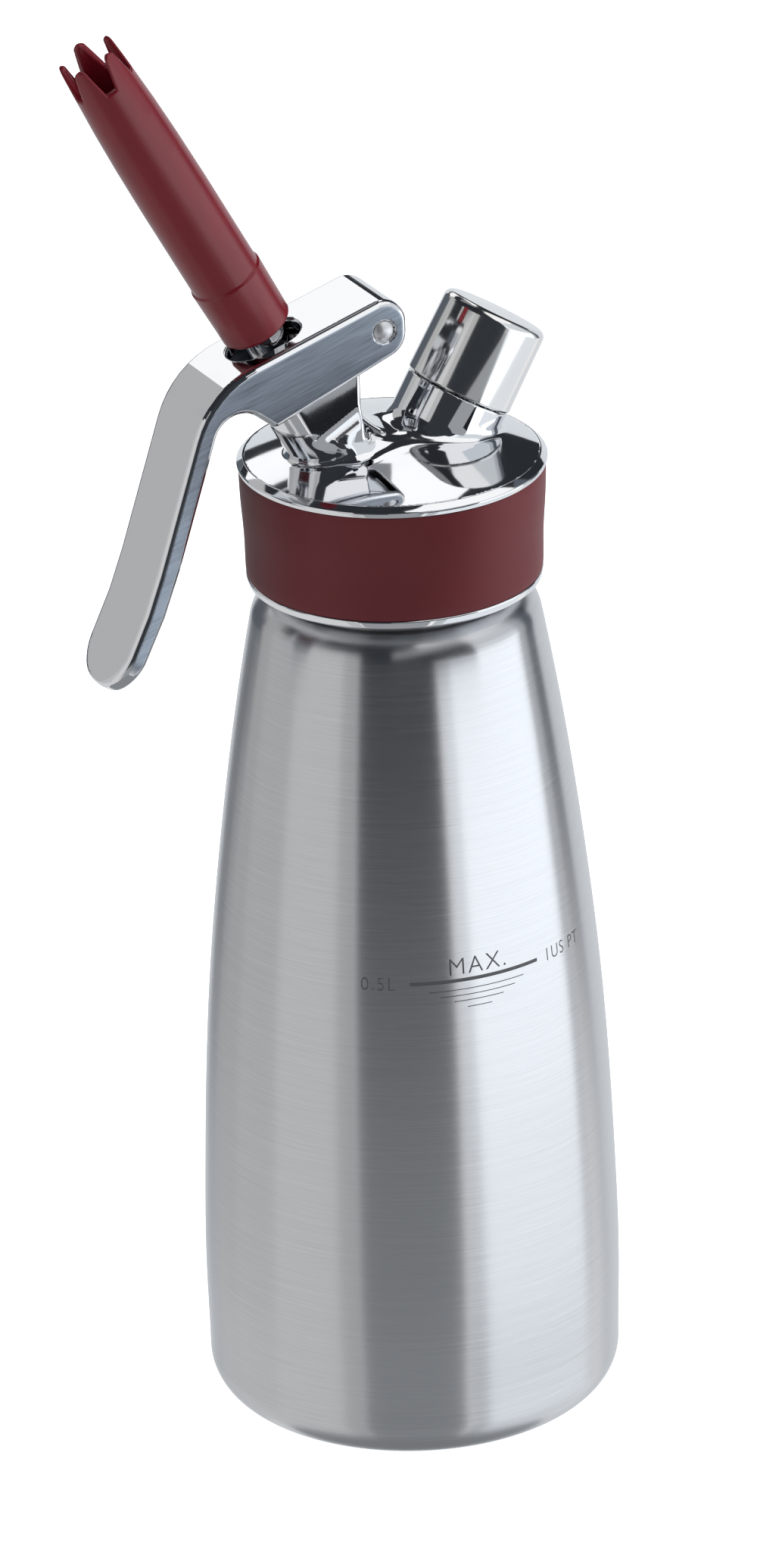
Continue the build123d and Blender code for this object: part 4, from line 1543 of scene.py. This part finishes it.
@dataclass
class Studio:
    """Pale floor, white surroundings, soft lamps and dark cards for the polished parts."""

    camera_place: tuple[float, float, float] = (-686.63, -1407.79, 816.88)
    camera_look: tuple[float, float, float] = (0.39914, 0.8241, -0.40193)
    camera_roll: float = -1.56
    lens: float = 200.0
    sensor: float = 36.0
    middle: float = 0.15
    soft: Colour = (0.95, 0.97, 1.0)
    soft_level: float = 0.55
    floor_half: float = 6.0
    floor_glow: float = 0.75
    panels: tuple[Panel, ...] = (
        Panel("room", -180, 180, 15, 90, 3.0, 0.035, Tint.NIGHT),
        Panel("front_dark", 152, 209, -7, 60, 2.6, 0.05, Tint.NIGHT),
        Panel("front_low", 152, 209, -18, -7, 2.6, 0.12, Tint.COOL),
        Panel("front_floor", 152, 209, -90, -18, 2.6, 0.38, Tint.COOL),
        Panel("under", -180, 180, -90, -58, 2.4, 0.3, Tint.COOL),
        Panel("left_soft", -150, -139, -90, 30, 2.7, 0.56),
        Panel("left_front", -139, -100, -90, 30, 2.7, 0.74),
        Panel("left_wall", -100, -68, -27, 22, 2.7, 0.6),
        Panel("left_back", -68, -42, -27, 36, 2.7, 0.52),
        Panel("left_low", -100, -42, -90, -27, 2.7, 0.75),
        Panel("left_flag", -54, -24, -15, 15, 2.6, 0.15, Tint.NIGHT),
        Panel("left_edge", -42, -24, -25, -15, 2.6, 0.32, Tint.COOL),
        Panel("left_foot", -42, -24, -50, -25, 2.6, 0.7, Tint.COOL),
        Panel("right_soft", 141, 149, -24, 40, 2.6, 1.2, Tint.COOL),
        Panel("right_wall", 73, 141, -24, 4, 2.6, 1.75, Tint.COOL),
        Panel("right_upper", 73, 141, 4, 40, 2.6, 0.85, Tint.COOL),
        Panel("right_back", 63, 73, -24, 40, 2.6, 0.6, Tint.COOL),
        Panel("right_foot", 138, 148, -90, -24, 2.7, 0.6, Tint.COOL),
        Panel("right_floor", 63, 138, -90, -24, 2.7, 0.98, Tint.COOL),
        Panel("right_flag", 50, 63, -20, 40, 2.5, 0.15, Tint.NIGHT),
        Panel("rear", -24, 50, -90, 15, 2.7, 0.85, Tint.COOL),
        Panel("left_box", -42, -4, 22, 39, 2.5, 1.2),
        Panel("top_box", 0, 18, 43, 70, 2.5, 1.2),
        Panel("flank_box", 60, 158, 40, 78, 2.5, 1.15),
        Panel("top_low", -3, 12, 37, 43, 2.5, 1.2),
        Panel("top_edge", -6, 0, 41, 57, 2.5, 0.28, Tint.COOL),
        Panel("top_strip", -55, -6, 55, 84, 2.4, 0.3, Tint.COOL),
    )
    cards: tuple[Card, ...] = (
        Card("cheek_card", ((-32, 180), (26, 199.5), (26, 222), (-32, 203)), 0.4, Tint.COOL),
        Card("lug_card", ((-12, 165), (26, 165), (26, 199.5), (-12, 186.7)), 0.02, Tint.NIGHT),
    )
    card_y: float = -58.0
    lamps: tuple[Lamp, ...] = (
        Lamp("key", (2.2, -0.7, 1.6), 76.0),
        Lamp("fill", (-1.8, -0.9, 1.2), 10.0),
    )
    lamp_size: float = 1.2

    def camera(self) -> None:
        """Places the camera."""
        data = bpy.data.cameras.new("camera")
        data.sensor_fit = "AUTO"
        data.sensor_width = self.sensor
        data.lens = self.lens
        data.clip_start = 0.05
        data.clip_end = 50.0
        look = Vector(self.camera_look).normalized()
        right = look.cross(Vector((0, 0, 1))).normalized()
        up = right.cross(look)
        roll = math.radians(self.camera_roll)
        across = right * math.cos(roll) + up * math.sin(roll)
        above = up * math.cos(roll) - right * math.sin(roll)
        turn = Matrix((across, above, -look)).transposed().to_4x4()
        obj = bpy.data.objects.new("camera", data)
        obj.matrix_world = Matrix.Translation(Vector(self.camera_place) * MM) @ turn
        bpy.context.scene.collection.objects.link(obj)
        bpy.context.scene.camera = obj

    def world(self) -> None:
        """White to the camera and in reflections, plain soft light elsewhere."""
        world = bpy.data.worlds.new("studio")
        bpy.context.scene.world = world
        board = Board(world)
        seen = board.node("LightPath", out="Is Camera Ray")
        for ray in ("Is Glossy Ray", "Is Transmission Ray"):
            seen = seen.math("MAXIMUM", seen, board.node("LightPath", out=ray))
        soft = board.node("Background", None, {"Color": self.soft, "Strength": self.soft_level})
        white = board.node("Background", None, {"Color": Tint.PLAIN.value, "Strength": 1.0})
        board.surface(board.node("MixShader", None, {0: seen, 1: soft, 2: white}), "OutputWorld")

    def stage(self, name: str, corners: Places, faces: Faces) -> bpy.types.Object:
        """Makes a mesh of the surroundings.

        Args:
            name: Its name.
            corners: Its corners in metres.
            faces: Its faces.

        Returns:
            The object.
        """
        mesh = bpy.data.meshes.new(name)
        mesh.from_pydata([tuple(c) for c in corners], [], faces)
        obj = bpy.data.objects.new(name, mesh)
        bpy.context.scene.collection.objects.link(obj)
        mesh.materials.append(bpy.data.materials.new(name))
        return obj

    def floor(self) -> None:
        """Pale floor that keeps a soft shadow."""
        size = self.floor_half
        corners = [(-size, -size, 0), (size, -size, 0), (size, size, 0), (-size, size, 0)]
        obj = self.stage("floor_white", corners, [(0, 1, 2, 3)])
        board = Board(obj.data.materials[0])
        pale = board.node(
            "BsdfPrincipled",
            None,
            {"Base Color": (0.9, 0.9, 0.9), "Roughness": 0.9, "Specular IOR Level": 0.1},
        )
        seen = board.node("LightPath", out="Is Camera Ray")
        seen = seen.math("MAXIMUM", seen, board.node("LightPath", out="Is Transmission Ray"))
        light = {"Color": Tint.PLAIN.value, "Strength": self.floor_glow}
        glow = board.node("Emission", None, light)
        dark = board.node("Emission", None, {"Strength": 0.0})
        pick = board.node("MixShader", None, {0: seen, 1: dark, 2: glow})
        board.surface(board.node("AddShader", None, {0: pale, 1: pick}))
        obj.visible_glossy = False

    def hang(self, item: Panel | Card, corners: Places, faces: Faces) -> None:
        """Hangs a panel or card that only reflections see.

        Args:
            item: The panel or card.
            corners: Its corners in metres.
            faces: Its faces.
        """
        obj = self.stage(item.name, corners, faces)
        material = obj.data.materials[0]
        board = Board(material)
        light = {"Color": item.tint.value, "Strength": item.brightness}
        board.surface(board.node("Emission", None, light))
        material.cycles.emission_sampling = "NONE"
        obj.visible_camera = False
        obj.visible_diffuse = False
        obj.visible_transmission = False
        obj.visible_shadow = False

    def panel(self, panel: Panel) -> None:
        """Hangs one panel round the object.

        Args:
            panel: The panel.
        """
        across, up = (
            np.linspace(start, end, max(2, round((end - start) / 4)) + 1)
            for start, end in ((panel.left, panel.right), (panel.low, panel.high))
        )
        middle = Vector((0, 0, self.middle))
        corners = [self.direction(a, e) * panel.reach + middle for e in up for a in across]
        row = len(across)
        faces = [
            (j * row + i, j * row + i + 1, (j + 1) * row + i + 1, (j + 1) * row + i)
            for j in range(len(up) - 1)
            for i in range(row - 1)
        ]
        self.hang(panel, corners, faces)

    def card(self, card: Card) -> None:
        """Stands one card in front of the head."""
        corners = [(x * MM, self.card_y * MM, z * MM) for x, z in card.corners]
        self.hang(card, corners, [tuple(range(len(corners)))])

    def direction(self, across: float, up: float) -> Vector:
        """Turns a bearing and an elevation into a unit vector.

        Args:
            across: Degrees to the right of straight behind the object.
            up: Degrees above the horizon.

        Returns:
            The vector.
        """
        bearing = math.atan2(self.camera_look[1], self.camera_look[0]) - math.radians(across)
        rise = math.radians(up)
        flat = math.cos(rise)
        return Vector((math.cos(bearing) * flat, math.sin(bearing) * flat, math.sin(rise)))

    def lamp(self, lamp: Lamp) -> None:
        """Hangs one lamp, aimed at the object's middle.

        Args:
            lamp: The lamp.
        """
        data = bpy.data.lights.new(lamp.name, "AREA")
        data.shape = "SQUARE"
        data.size = self.lamp_size
        data.energy = lamp.power
        obj = bpy.data.objects.new(lamp.name, data)
        obj.location = lamp.place
        aim = Vector((0, 0, self.middle)) - Vector(lamp.place)
        obj.rotation_euler = aim.to_track_quat("-Z", "Y").to_euler()
        obj.visible_glossy = False
        bpy.context.scene.collection.objects.link(obj)

    def build(self) -> None:
        """Sets up the camera, the surroundings and the light."""
        bpy.context.scene.view_settings.view_transform = "Standard"
        self.camera()
        self.world()
        self.floor()
        for lamp in self.lamps:
            self.lamp(lamp)
        for panel in self.panels:
            self.panel(panel)
        for card in self.cards:
            self.card(card)


def main() -> None:
    """Builds every piece in order."""
    logging.basicConfig(level=logging.INFO, format="%(message)s")
    for group in (Studio(), Bottle(), Head(), GripRing(), ChargerCap(), Lever(), Stem(), Tip()):
        group.build()
    dress_inner_parts()


if __name__ == "__main__":
    main()
